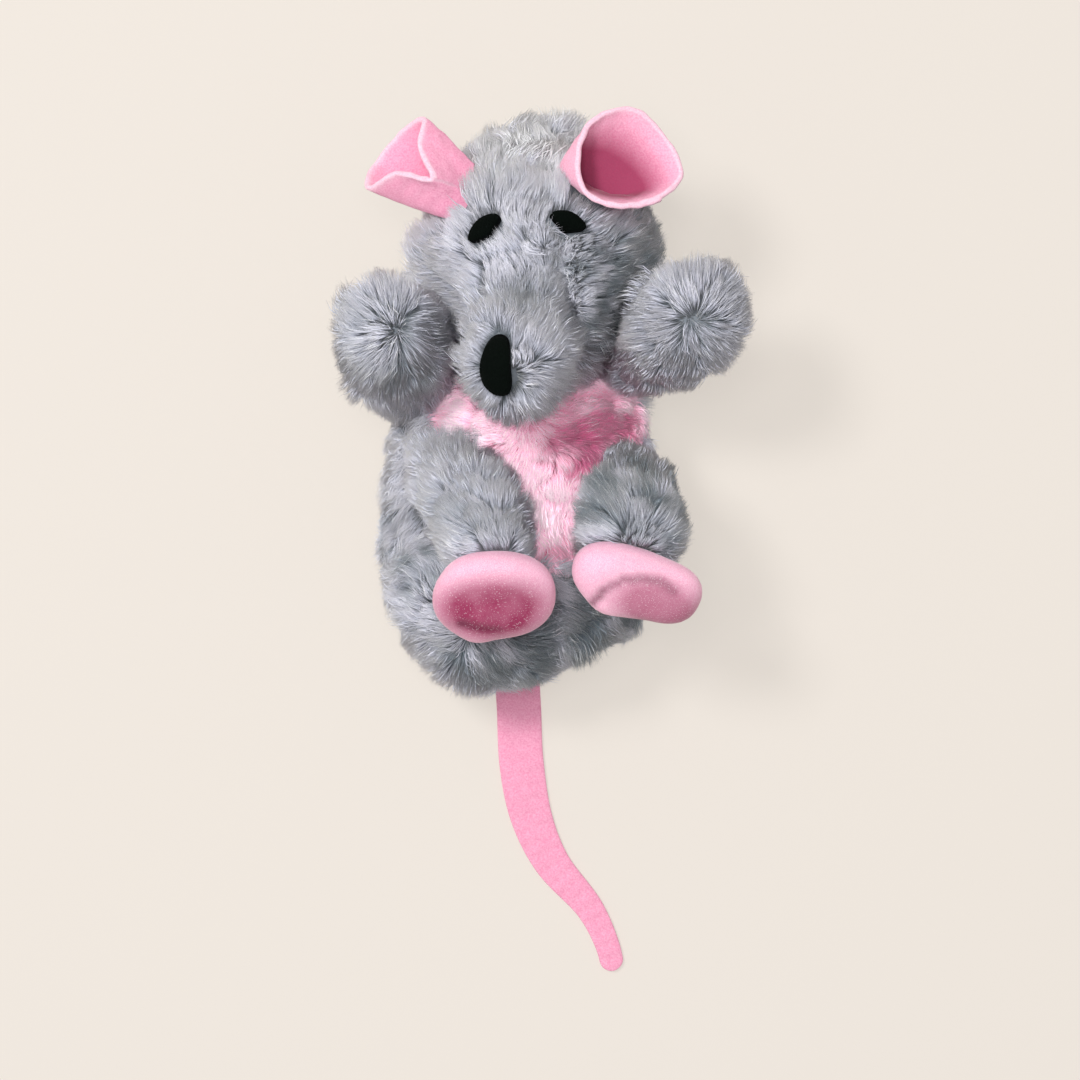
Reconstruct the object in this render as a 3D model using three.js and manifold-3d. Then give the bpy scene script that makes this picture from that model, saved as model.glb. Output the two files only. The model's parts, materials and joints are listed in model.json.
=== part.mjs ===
// A catnip mouse, a plush toy lying on its back. Millimetres, +Z up, +Y towards the head. The origin
// is the middle of the flat patch on which the body rests.
import * as THREE from 'three';
import { mergeVertices } from 'three/addons/utils/BufferGeometryUtils.js';
import Module from 'manifold-3d';

const wasm = await Module();
wasm.setup();

// Cloth, felt and seams
const pileCloth = 1.6;
const velourCloth = 1.2;
const feltThickness = 1.3;
const sachetCloth = 0.6;
const seamGap = 0.3;
const fillingGap = 0.8;
const flatDepth = 0.5;
const cutterReach = 90;
const sliver = 0.05;

// The body bag, measured from its middle
const bodyRight = 27.5;
const bodyLeft = 30;
const bodyNeckEnd = 37;
const bodyRumpEnd = 29.5;
const bodyBelly = 23;
const bodyBack = 25.5;
const rumpSwell = 3.3;
const rumpHollow = 2.6;
const hipSwell = 2.6;
const leftShoulderSwell = 6;
const rightShoulderSwell = 10.5;

// The belly panel, in plan from the body's middle
const bellyMiddleX = 6;
const bellyMiddleY = 21;
const bellyHalfWidth = 25.5;
const bellyTop = 19;
const bellyFoot = 26;
const bellySeamRise = 3;

// The head, measured from its middle, and how far its chin is pressed into the neck end of the body
const headAside = 3.7;
const neckPress = 4;
const headHalfWidth = 25.3;
const headFace = 26;
const headNape = 32.5;
const headCrown = 30;
const headChin = 31;
const snoutReach = 14;
const snoutRoot = 9;
const cheekSwell = 2.2;
const snoutSide = -5.3;
const snoutDrop = -31;
const snoutRise = 40;
const gussetHalfWidth = 8.5;
const neckOpening = 7;

// Eyes and nose: size, and the way each lies from the head's middle
const eyeLength = 8.4;
const eyeWidth = 4.5;
const leftEyeWay = [-10.7, 5.9, 25.5];
const rightEyeWay = [6.8, 7, 26];
const leftEyeRoll = 30;
const rightEyeRoll = -18;
const noseLength = 12.6;
const noseWidth = 7;
const noseWay = [-8.3, -27, 43];
const noseRoll = 97;

// Arms: where each is sewn to the body, as a way from the body's middle, and how far its paw reaches
// from there
const leftArmRadius = 9.3;
const rightArmRadius = 10;
const armTaperShare = 0.36;
const leftShoulderWay = [-26.6, 35.6, -4];
const leftArmReach = [-6.6, 19.5, 47];
const rightShoulderWay = [29, 37.5, -4];
const rightArmReach = [18, 22, 46.5];

// Legs: each thigh starts this far from the body's middle, inside its skin, and reaches this far to
// the ankle. The foot sits this far beyond the ankle
const leftThighRadius = 9;
const rightThighRadius = 10.3;
const thighTaperShare = 0.2;
const leftHip = [-13.5, 17, 12];
const leftThighReach = [11, -23, 24];
const leftFootPlace = [-3, -5.3, 1];
const rightHip = [23.5, 16.5, 11];
const rightThighReach = [2, -20.5, 24];
const rightFootPlace = [0.5, -4.6, 1];
const footLength = 28.4;
const rightFootLength = 30;
const footWidth = 20.6;
const rightFootWidth = 16.6;
const footThickness = 14;
const soleDimple = 2;
const footTilt = 16;
const leftFootTurn = 2;
const rightFootTurn = -20;
const ankleOpening = 4.5;

// The tail strip, from its root inside the rump to its tip
const tailRootX = -1.2;
const tailRootDepth = 7;
const tailRootHeight = 6.5;
const tailSlope = 18;
const tailReachX = 23.6;
const tailReachY = 79;
const tailWidth = 10.6;
const tailTipWidth = 5.6;
const tailFloorGap = 0.2;
const tailLineShares = [
  [0, 0],
  [0.04, 0.2],
  [0.07, 0.38],
  [0.17, 0.54],
  [0.37, 0.673],
  [0.76, 0.815],
  [0.93, 0.92],
  [1, 1],
];

// The ears: the way from the head's middle to where each is sewn in, how deep it sits there, and how
// wide, tall and deep its rim is
const earRootDepth = 0.7;
const leftEarWay = [-17.1, 14.6, 14];
const leftEarAcross = 20.6;
const leftEarTall = 17.2;
const leftEarDeep = 10;
const rightEarWay = [10.9, 16.2, 20.5];
const rightEarAcross = 22.1;
const rightEarTall = 17.6;
const rightEarDeep = 10;
const earRootLength = 13;
const earRootThickness = 1.8;
const earFlareShare = 1.35;
const leftEarBowl = 0.8;
const rightEarBowl = 1.8;
// Eight places round each rim, from the end of the root that lies towards the crown
const leftRimShares = [
  [-0.39, 1, 0.4],
  [-0.65, 0.84, -0.1],
  [-0.91, 0.46, -0.2],
  [-1, 0.26, 0.1],
  [-0.97, 0.1, 0.5],
  [-0.66, 0.26, 1],
  [-0.29, 0.19, 1],
  [-0.42, 0.6, 0.8],
];
const rightRimShares = [
  [-0.09, 0.35, 0.9],
  [0.07, 0.84, 0.7],
  [0.5, 1, 0.4],
  [0.83, 0.64, 0.3],
  [1, 0.14, 0.5],
  [0.75, -0.18, 0.8],
  [0.31, -0.29, 1],
  [-0.01, -0.11, 1],
];

// The catnip sachet, behind the belly panel
const sachetX = 1.5;
const sachetY = 6;
const sachetRadius = 11;
const sachetHem = 1.6;
const sachetDome = 3.4;
const sachetDepth = 3;

// How far each seam lets its piece swing, in degrees from rest
const neckSwing = [-10, 10];
const armSwing = [-4, 20];
const legSwing = [-20, 4];
const tailSwing = [-25, 25];
const earSwing = [-3, 16];

const ACROSS = new THREE.Vector3(1, 0, 0);
const AHEAD = new THREE.Vector3(0, 1, 0);
const UP = new THREE.Vector3(0, 0, 1);

const colours = {
  greyPlush: new THREE.MeshStandardMaterial({ color: 0x8f949b, roughness: 0.9 }),
  pinkPlush: new THREE.MeshStandardMaterial({ color: 0xe88fb4, roughness: 0.9 }),
  velour: new THREE.MeshStandardMaterial({ color: 0xe583a8, roughness: 0.8 }),
  pinkFelt: new THREE.MeshStandardMaterial({ color: 0xf29bbb, roughness: 0.95 }),
  blackFelt: new THREE.MeshStandardMaterial({ color: 0x0b100d, roughness: 0.95 }),
  fibrefill: new THREE.MeshStandardMaterial({ color: 0xf0efec, roughness: 1 }),
  sachet: new THREE.MeshStandardMaterial({ color: 0xe6e1d2, roughness: 0.9 }),
  catnip: new THREE.MeshStandardMaterial({ color: 0x6d7a45, roughness: 1 }),
};

const mouse = new THREE.Group();

// A geometry left with its places alone, each vertex once
function weldPlaces(geometry) {
  geometry.deleteAttribute('normal');
  geometry.deleteAttribute('uv');
  return mergeVertices(geometry);
}

function solidOf(geometry) {
  const places = geometry.attributes.position.array;
  const triangles = geometry.index.array;
  const mesh = new wasm.Mesh({
    numProp: 3,
    vertProperties: new Float32Array(places),
    triVerts: new Uint32Array(triangles),
  });
  return new wasm.Manifold(mesh);
}

function addPiece(name, solid, material) {
  const { vertProperties, triVerts } = solid.simplify(sliver).getMesh();
  const geometry = new THREE.BufferGeometry();
  geometry.setAttribute('position', new THREE.BufferAttribute(vertProperties, 3));
  geometry.setIndex(new THREE.BufferAttribute(triVerts, 1));
  const piece = new THREE.Mesh(geometry, material);
  piece.name = name;
  mouse.add(piece);
}

// The turn that carries +Y to a direction and keeps +X as near as it can to the world's
function turnAlong(direction) {
  const along = direction.clone().normalize();
  const side = ACROSS.clone().addScaledVector(along, -ACROSS.dot(along)).normalize();
  const third = side.clone().cross(along);
  const basis = new THREE.Matrix4().makeBasis(side, along, third);
  return new THREE.Quaternion().setFromRotationMatrix(basis);
}

// A stuffed bag. Each direction of a unit sphere runs out to a rounded block with six half sizes and
// is let out where the bag swells. The bag tapers along its own +Y, and the sphere's rings crowd
// towards that end
function stuffedBag(bag) {
  const { middle, half, squareness, columns, rings } = bag;
  const { taperShare = 0, swells = [], crowding = 1, turn = new THREE.Quaternion() } = bag;
  const back = turn.clone().invert();
  const ways = swells.map(({ towards }) => new THREE.Vector3(...towards).applyQuaternion(back).normalize());
  const shape = weldPlaces(new THREE.SphereGeometry(1, columns, rings));
  const places = shape.attributes.position;
  const place = new THREE.Vector3();
  for (let i = 0; i < places.count; i += 1) {
    place.fromBufferAttribute(places, i);
    const polar = Math.PI * (Math.acos(THREE.MathUtils.clamp(place.y, -1, 1)) / Math.PI) ** crowding;
    const around = Math.atan2(place.x, place.z);
    place.setFromSphericalCoords(1, polar, around);
    const sizes = [
      place.x > 0 ? half.right : half.left,
      place.y > 0 ? half.far : half.near,
      place.z > 0 ? half.top : half.low,
    ];
    const shares = [place.x / sizes[0], place.y / sizes[1], place.z / sizes[2]];
    const sum = shares.reduce((total, share) => total + Math.abs(share) ** squareness, 0);
    let reach = sum ** (-1 / squareness);
    swells.forEach((swell, k) => {
      const angle = THREE.MathUtils.radToDeg(place.angleTo(ways[k]));
      reach += swell.reach * Math.exp(-((angle / swell.spread) ** swell.sharpness));
    });
    place.multiplyScalar(reach);
    const width = 1 + taperShare * (place.y / sizes[1]);
    place.set(place.x * width, place.y, place.z * width);
    place.applyQuaternion(turn).add(middle);
    places.setXYZ(i, place.x, place.y, place.z);
  }
  return shape;
}

// The same closed surface with every vertex moved out along its normal, or in by a negative distance
function offsetSkin(shape, distance) {
  const moved = shape.clone();
  moved.computeVertexNormals();
  const places = moved.attributes.position;
  const normals = moved.attributes.normal;
  for (let i = 0; i < places.count; i += 1) {
    places.setXYZ(
      i,
      places.getX(i) + distance * normals.getX(i),
      places.getY(i) + distance * normals.getY(i),
      places.getZ(i) + distance * normals.getZ(i),
    );
  }
  return moved;
}

// What one bag gives: its outside, the space that its cloth leaves, its filling in half as many
// facets each way, and the space that its neighbours keep clear of
function sewn(bag, cloth) {
  const shape = stuffedBag(bag);
  const core = stuffedBag({ ...bag, columns: bag.columns / 2, rings: bag.rings / 2 });
  return {
    shape,
    outside: solidOf(shape),
    inside: solidOf(offsetSkin(shape, -cloth)),
    filling: solidOf(offsetSkin(core, -cloth - fillingGap)),
    around: solidOf(offsetSkin(shape, seamGap)),
  };
}

// A bag that rests on the floor, flattened there
function onFloor(bag, cloth) {
  return {
    ...bag,
    outside: bag.outside.trimByPlane([0, 0, 1], 0),
    inside: bag.inside.trimByPlane([0, 0, 1], cloth),
    filling: bag.filling.trimByPlane([0, 0, 1], cloth + fillingGap),
  };
}

// The height of a bag's middle at which the floor flattens its lowest point
function seatHeight(bag) {
  const shape = stuffedBag({ ...bag, middle: new THREE.Vector3() });
  shape.computeBoundingBox();
  return -flatDepth - shape.boundingBox.min.z;
}

// A round cutter from one point to another
function bore(from, to, radius) {
  const start = new THREE.Vector3(...from);
  const way = new THREE.Vector3(...to).sub(start);
  const rod = weldPlaces(new THREE.CylinderGeometry(radius, radius, way.length(), 20));
  rod.translate(0, way.length() / 2, 0);
  rod.applyQuaternion(turnAlong(way));
  rod.translate(start.x, start.y, start.z);
  return solidOf(rod);
}

// A flat outline carried through a depth and placed by a matrix
function prism(outline, depth, placed = new THREE.Matrix4()) {
  const options = { depth, bevelEnabled: false, curveSegments: 16 };
  const block = weldPlaces(new THREE.ExtrudeGeometry(outline, options));
  return solidOf(block.applyMatrix4(placed));
}

// A solid turned about a hinge by an angle in degrees
function turned(solid, hinge, angle) {
  const there = new THREE.Matrix4().makeTranslation(hinge.at);
  const back = new THREE.Matrix4().makeTranslation(hinge.at.clone().negate());
  const spin = new THREE.Matrix4().makeRotationAxis(hinge.axis, THREE.MathUtils.degToRad(angle));
  return solid.transform(there.multiply(spin).multiply(back).elements);
}

// What is left of a sewn-on piece when the larger bag is taken out of it at rest and at both ends of
// its swing, so that it folds along its seam and never runs into the larger one
function clearOf(piece, larger, hinge) {
  return [0, ...hinge.swing].reduce((left, angle) => left.subtract(turned(larger, hinge, -angle)), piece);
}

// The same for a larger bag that swings about a hinge of its own
function clearOfMoving(piece, larger, ownHinge, hinge) {
  return [0, ...ownHinge.swing].reduce(
    (left, angle) => clearOf(left, turned(larger, ownHinge, angle), hinge),
    piece,
  );
}

// The largest body of a solid, without the slivers that two curved skins leave where they cross
function largestBody(solid) {
  return solid.decompose().reduce((largest, body) => (body.volume() > largest.volume() ? body : largest));
}

// The point where a ray from a bag's middle meets its skin
function onSkin(shape, middle, way) {
  const ray = new THREE.Raycaster(middle, way.clone().normalize());
  const skin = new THREE.Mesh(shape, new THREE.MeshBasicMaterial({ side: THREE.DoubleSide }));
  return ray.intersectObject(skin)[0].point;
}

// A solid through rings of points, closed on itself or capped flat at both ends
function lofted(rings, closed) {
  const count = rings[0].length;
  const places = rings.flat().flatMap((point) => point.toArray());
  const faces = [];
  const last = closed ? rings.length : rings.length - 1;
  for (let i = 0; i < last; i += 1) {
    for (let j = 0; j < count; j += 1) {
      const here = i * count;
      const next = ((i + 1) % rings.length) * count;
      const side = (j + 1) % count;
      faces.push(here + j, next + j, next + side, here + j, next + side, here + side);
    }
  }
  if (!closed) {
    const end = (rings.length - 1) * count;
    for (let j = 1; j < count - 1; j += 1) {
      faces.push(0, j, j + 1, end, end + j + 1, end + j);
    }
  }
  const geometry = new THREE.BufferGeometry();
  geometry.setAttribute('position', new THREE.Float32BufferAttribute(places, 3));
  geometry.setIndex(faces);
  return solidOf(geometry);
}

// Felt sewn flat on a bag: the part of a thin layer round the bag that an oval prism takes out
function feltPatch(bag, middle, way, length, width, roll) {
  const layer = solidOf(offsetSkin(bag.shape, seamGap + feltThickness)).subtract(bag.around);
  const oval = new THREE.Shape().absellipse(0, 0, length / 2, width / 2, 0, 2 * Math.PI);
  const lying = turnAlong(new THREE.Vector3(...way));
  const upright = new THREE.Quaternion().setFromAxisAngle(ACROSS, -Math.PI / 2);
  const rolled = new THREE.Quaternion().setFromAxisAngle(UP, THREE.MathUtils.degToRad(roll));
  const facing = lying.multiply(upright).multiply(rolled);
  const size = new THREE.Vector3(1, 1, 1);
  return layer.intersect(prism(oval, cutterReach, new THREE.Matrix4().compose(middle, facing, size)));
}

// Body: one bag of pile cloth, with a panel let into its front
const bodyMiddle = new THREE.Vector3(0, 0, bodyBack - flatDepth);
const bodyBag = {
  middle: bodyMiddle,
  half: {
    right: bodyRight,
    left: bodyLeft,
    far: bodyNeckEnd,
    near: bodyRumpEnd,
    top: bodyBelly,
    low: bodyBack,
  },
  squareness: 2.4,
  swells: [
    { towards: [-0.4, -0.91, 0], reach: rumpSwell, spread: 26, sharpness: 2 },
    { towards: [0.55, -0.83, 0], reach: -rumpHollow, spread: 16, sharpness: 2 },
    { towards: [0.82, -0.57, 0], reach: hipSwell, spread: 20, sharpness: 2 },
    { towards: [0.6, 0.8, 0.05], reach: rightShoulderSwell, spread: 18, sharpness: 2 },
    { towards: [-0.52, 0.85, 0.05], reach: leftShoulderSwell, spread: 20, sharpness: 2 },
  ],
  columns: 24,
  rings: 16,
};
const body = onFloor(sewn(bodyBag, pileCloth), pileCloth);

// Head: a bag whose own +Y runs out of the snout
const snoutWay = [snoutSide, snoutDrop, snoutRise];
const headBag = {
  turn: turnAlong(new THREE.Vector3(...snoutWay)),
  half: {
    right: headHalfWidth,
    left: headHalfWidth,
    far: headFace,
    near: headNape,
    top: headChin,
    low: headCrown,
  },
  squareness: 2.05,
  swells: [
    { towards: snoutWay, reach: snoutReach, spread: 17, sharpness: 4 },
    { towards: snoutWay, reach: snoutRoot, spread: 26, sharpness: 2 },
    { towards: [-0.96, 0.06, 0.25], reach: cheekSwell, spread: 24, sharpness: 2 },
    { towards: [0.96, 0, 0.25], reach: cheekSwell, spread: 24, sharpness: 2 },
  ],
  columns: 22,
  rings: 16,
  crowding: 1.5,
};
const headAhead = bodyNeckEnd + headChin - neckPress;
const headMiddle = new THREE.Vector3(headAside, headAhead, seatHeight(headBag));
const head = onFloor(sewn({ ...headBag, middle: headMiddle }, pileCloth), pileCloth);

// The neck seam, and the opening through both skins inside it
const neck = {
  at: onSkin(body.shape, bodyMiddle, headMiddle.clone().sub(bodyMiddle)),
  axis: ACROSS,
  swing: neckSwing,
};
const neckHole = bore(bodyMiddle, headMiddle, neckOpening);

// The head's skin is three panels. The gusset is what a slab along the head's middle plane takes out,
// all but the sector under the chin, where the two cheeks meet
function gussetSlab(margin) {
  const chinWay = bodyMiddle.clone().sub(headMiddle).applyQuaternion(headBag.turn.clone().invert());
  const turnedIn = margin / (headFace + snoutReach + snoutRoot);
  const chin = Math.atan2(chinWay.z, chinWay.y) - turnedIn;
  const sector = new THREE.Shape();
  sector.absarc(0, 0, cutterReach, chin, 2 * Math.PI + turnedIn, false);
  sector.lineTo(0, 0);
  const halfWidth = gussetHalfWidth + margin;
  const along = AHEAD.clone().applyQuaternion(headBag.turn);
  const chinSide = UP.clone().applyQuaternion(headBag.turn);
  const side = ACROSS.clone().applyQuaternion(headBag.turn);
  const placed = new THREE.Matrix4().makeBasis(along, chinSide, side);
  placed.setPosition(headMiddle.clone().addScaledVector(side, -halfWidth));
  return prism(sector, 2 * halfWidth, placed);
}

const headSkin = clearOf(head.outside.subtract(head.inside).subtract(neckHole), body.around, neck);
const cheeks = headSkin.subtract(gussetSlab(seamGap));
const cheekSide = ACROSS.clone().applyQuaternion(headBag.turn);
const chinSeam = cheekSide.dot(headMiddle);
addPiece('head_gusset', largestBody(headSkin.intersect(gussetSlab(0))), colours.greyPlush);
addPiece(
  'head_cheek_left',
  cheeks.trimByPlane(cheekSide.clone().negate().toArray(), seamGap / 2 - chinSeam),
  colours.greyPlush,
);
addPiece(
  'head_cheek_right',
  cheeks.trimByPlane(cheekSide.toArray(), seamGap / 2 + chinSeam),
  colours.greyPlush,
);
addPiece('head_stuffing', clearOf(head.filling, body.around, neck), colours.fibrefill);

// Eyes and nose: felt sewn flat on the face
addPiece(
  'eye_left',
  feltPatch(head, headMiddle, leftEyeWay, eyeLength, eyeWidth, leftEyeRoll),
  colours.blackFelt,
);
addPiece(
  'eye_right',
  feltPatch(head, headMiddle, rightEyeWay, eyeLength, eyeWidth, rightEyeRoll),
  colours.blackFelt,
);
addPiece(
  'nose',
  feltPatch(head, headMiddle, noseWay, noseLength, noseWidth, noseRoll),
  colours.blackFelt,
);

// Ears: a piece of felt wrapped into a cup, from a flattened loop at its root to its open rim, with
// its wall bowed outwards between them
function feltEar(way, rimShares, size, rootLine, bowl) {
  const outwards = new THREE.Vector3(...way).normalize();
  const middle = onSkin(head.shape, headMiddle, outwards).addScaledVector(outwards, -earRootDepth);
  const rim = new THREE.CatmullRomCurve3(
    rimShares.map((shares) => new THREE.Vector3(...shares).multiply(size).add(middle)),
    true,
  );
  const mouth = rim.getPoint(0).add(rim.getPoint(0.5)).divideScalar(2);
  const line = rootLine.clone().normalize();
  const thick = UP.clone().negate();
  const wall = (u, v) => {
    const angle = 2 * Math.PI * u;
    const foot = new THREE.Vector3()
      .addScaledVector(line, (earRootLength / 2) * Math.cos(angle))
      .addScaledVector(thick, (earRootThickness / 2) * Math.sin(angle));
    const edge = rim.getPoint(((u % 1) + 1) % 1).sub(mouth);
    const bowed = edge.clone().normalize().multiplyScalar(bowl * Math.sin(Math.PI * v));
    return middle.clone().lerp(mouth, v).add(foot.lerp(edge, v ** earFlareShare)).add(bowed);
  };
  const roundSteps = 24;
  const upSteps = 4;
  const nudge = 0.01;
  const rings = [];
  for (let i = 0; i < roundSteps; i += 1) {
    const u = i / roundSteps;
    const outer = [];
    const inner = [];
    for (let j = 0; j <= upSteps; j += 1) {
      const v = j / upSteps;
      const around = wall(u + nudge, v).sub(wall(u - nudge, v));
      const upwards = wall(u, Math.min(v + nudge, 1)).sub(wall(u, Math.max(v - nudge, 0)));
      const normal = around.cross(upwards).normalize();
      outer.push(wall(u, v).addScaledVector(normal, feltThickness / 2));
      inner.unshift(wall(u, v).addScaledVector(normal, -feltThickness / 2));
    }
    rings.push([...outer, ...inner]);
  }
  return lofted(rings, true);
}

const leftEarLine = AHEAD;
const rightEarLine = new THREE.Vector3(-0.87, 0.49, 0);
const leftEarHinge = {
  at: onSkin(head.shape, headMiddle, new THREE.Vector3(...leftEarWay)),
  axis: leftEarLine,
  swing: earSwing,
};
const rightEarHinge = {
  at: onSkin(head.shape, headMiddle, new THREE.Vector3(...rightEarWay)),
  axis: rightEarLine.clone().normalize().negate(),
  swing: earSwing,
};
const leftEar = feltEar(
  leftEarWay,
  leftRimShares,
  new THREE.Vector3(leftEarAcross, leftEarTall, leftEarDeep),
  leftEarLine,
  leftEarBowl,
);
const rightEar = feltEar(
  rightEarWay,
  rightRimShares,
  new THREE.Vector3(rightEarAcross, rightEarTall, rightEarDeep),
  rightEarLine,
  rightEarBowl,
);
addPiece('ear_left', clearOf(leftEar, head.around, leftEarHinge), colours.pinkFelt);
addPiece('ear_right', clearOf(rightEar, head.around, rightEarHinge), colours.pinkFelt);

// Tail: a flat felt strip that runs level out of the rump and slopes down to the floor. Its round
// root turns in a slot between the panels
const tailRootY = tailRootDepth - bodyRumpEnd;

function feltTail(margin) {
  const line = new THREE.CatmullRomCurve3(tailLineShares.map(([x, y]) => new THREE.Vector3(
    tailRootX + x * tailReachX,
    tailRootY - y * tailReachY,
    0,
  )));
  const length = line.getLength();
  const level = tailFloorGap + feltThickness / 2;
  const endSteps = 4;
  const runSteps = 18;
  const rootRadius = tailWidth / 2;
  const tipRadius = tailTipWidth / 2;
  const stations = [];
  for (let i = 0; i < endSteps; i += 1) {
    const angle = (Math.PI / 2) * ((i + 0.4) / endSteps);
    stations.push([-rootRadius * Math.cos(angle), rootRadius * Math.sin(angle)]);
  }
  for (let i = 0; i <= runSteps; i += 1) {
    const share = i / runSteps;
    const narrowed = THREE.MathUtils.smoothstep(share, 0.35, 1);
    const radius = THREE.MathUtils.lerp(rootRadius, tipRadius, narrowed);
    stations.push([share * (length - tipRadius), radius]);
  }
  for (let i = 1; i <= endSteps; i += 1) {
    const angle = (Math.PI / 2) * ((i - 0.4) / endSteps);
    stations.push([length - tipRadius + tipRadius * Math.sin(angle), tipRadius * Math.cos(angle)]);
  }
  const rings = stations.map(([distance, radius]) => {
    const share = THREE.MathUtils.clamp(distance / length, 0, 1);
    const way = line.getTangentAt(share);
    const side = way.clone().cross(UP).normalize();
    const middle = line.getPointAt(share).addScaledVector(way, Math.min(distance, 0));
    const fall = THREE.MathUtils.smoothstep(distance, 0, tailSlope);
    middle.z = THREE.MathUtils.lerp(tailRootHeight, level, fall);
    const wide = radius + margin;
    const high = feltThickness / 2 + margin;
    return [[-1, -1], [1, -1], [1, 1], [-1, 1]].map(([across, up]) => middle.clone()
      .addScaledVector(side, across * wide)
      .addScaledVector(UP, up * high));
  });
  return lofted(rings, false);
}

const tailHinge = {
  at: new THREE.Vector3(tailRootX, tailRootY, tailRootHeight),
  axis: UP,
  swing: tailSwing,
};
const tailSlot = [0, ...tailSwing]
  .map((angle) => turned(feltTail(seamGap), tailHinge, angle))
  .reduce((slot, solid) => slot.add(solid));
addPiece('tail', feltTail(0), colours.pinkFelt);

// The catnip sachet: two dished walls hemmed together round a lens of dried catnip
function sachetWall() {
  const inner = sachetRadius - sachetHem;
  const profile = new THREE.Path();
  profile.moveTo(0, sachetDome + sachetCloth);
  profile.quadraticCurveTo(inner * 0.6, sachetDome + sachetCloth, inner, sachetCloth);
  profile.lineTo(sachetRadius, sachetCloth);
  profile.lineTo(sachetRadius, 0);
  profile.lineTo(inner, 0);
  profile.quadraticCurveTo(inner * 0.6, sachetDome, 0, sachetDome);
  return weldPlaces(new THREE.LatheGeometry(profile.getPoints(5).reverse(), 20));
}

function catnipLens() {
  const radius = sachetRadius - sachetHem - 2 * seamGap;
  const high = sachetDome - 2 * seamGap;
  const profile = new THREE.Path();
  profile.moveTo(0, high);
  profile.quadraticCurveTo(radius * 0.6, high, radius, 0);
  profile.quadraticCurveTo(radius * 0.6, -high, 0, -high);
  return weldPlaces(new THREE.LatheGeometry(profile.getPoints(5).reverse(), 20));
}

const sachetHeight = bodyMiddle.z + bodyBelly - pileCloth - sachetDepth - sachetDome - sachetCloth;
const sachetMiddle = new THREE.Vector3(sachetX, sachetY, sachetHeight);

function inSachet(geometry, gap, facing) {
  const placed = geometry.rotateX(facing * (Math.PI / 2));
  placed.translate(sachetMiddle.x, sachetMiddle.y, sachetMiddle.z + gap);
  return solidOf(placed);
}

addPiece('sachet_front', inSachet(sachetWall(), seamGap / 2, 1), colours.sachet);
addPiece('sachet_back', inSachet(sachetWall(), -seamGap / 2, -1), colours.sachet);
addPiece('catnip_fill', inSachet(catnipLens(), 0, 1), colours.catnip);

// Body skin: the back panel wraps round the sides, and the belly panel closes the front
function bellyPrism(margin) {
  const width = bellyHalfWidth + margin;
  const top = bellyTop + margin;
  const foot = bellyFoot + margin;
  const outline = new THREE.Shape();
  outline.moveTo(-width, 0);
  outline.bezierCurveTo(-width, -foot * 0.45, -width * 0.42, -foot, 0, -foot);
  outline.bezierCurveTo(width * 0.42, -foot, width, -foot * 0.45, width, 0);
  outline.bezierCurveTo(width, top * 0.8, width * 0.7, top, 0, top);
  outline.bezierCurveTo(-width * 0.7, top, -width, top * 0.8, -width, 0);
  const height = bodyMiddle.z + bellySeamRise - margin;
  return prism(outline, cutterReach, new THREE.Matrix4().makeTranslation(bellyMiddleX, bellyMiddleY, height));
}

const bodySkin = body.outside.subtract(body.inside).subtract(neckHole).subtract(tailSlot);
addPiece('back_panel', bodySkin.subtract(bellyPrism(seamGap)), colours.greyPlush);
addPiece('belly_panel', bodySkin.intersect(bellyPrism(0)), colours.pinkPlush);

const sachetFoot = sachetHeight - sachetDome - sachetCloth - 1.5 * seamGap;
const recess = bore(
  [sachetX, sachetY, sachetFoot],
  [sachetX, sachetY, sachetFoot + cutterReach],
  sachetRadius + seamGap,
);
addPiece('body_stuffing', body.filling.subtract(tailSlot).subtract(recess), colours.fibrefill);

// Arms: a tapered bag that swells into the paw, sewn to the shoulder along one line
function addArm(side, shoulderWay, reach, radius) {
  const way = new THREE.Vector3(...shoulderWay).normalize();
  const from = onSkin(body.shape, bodyMiddle, way);
  const to = from.clone().add(new THREE.Vector3(...reach));
  const half = to.distanceTo(from) / 2;
  const arm = sewn({
    middle: from.clone().lerp(to, 0.5),
    turn: turnAlong(to.clone().sub(from)),
    half: {
      right: radius,
      left: radius,
      far: half,
      near: half,
      top: radius,
      low: radius,
    },
    squareness: 2.5,
    taperShare: armTaperShare,
    columns: 12,
    rings: 8,
  }, pileCloth);
  const hinge = { at: from, axis: ACROSS, swing: armSwing };
  const fitted = (solid) => clearOfMoving(clearOf(solid, body.around, hinge), head.around, neck, hinge);
  addPiece(`arm_${side}_skin`, fitted(arm.outside.subtract(arm.inside)), colours.greyPlush);
  addPiece(`arm_${side}_stuffing`, fitted(arm.filling), colours.fibrefill);
}

addArm('left', leftShoulderWay, leftArmReach, leftArmRadius);
addArm('right', rightShoulderWay, rightArmReach, rightArmRadius);

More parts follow.
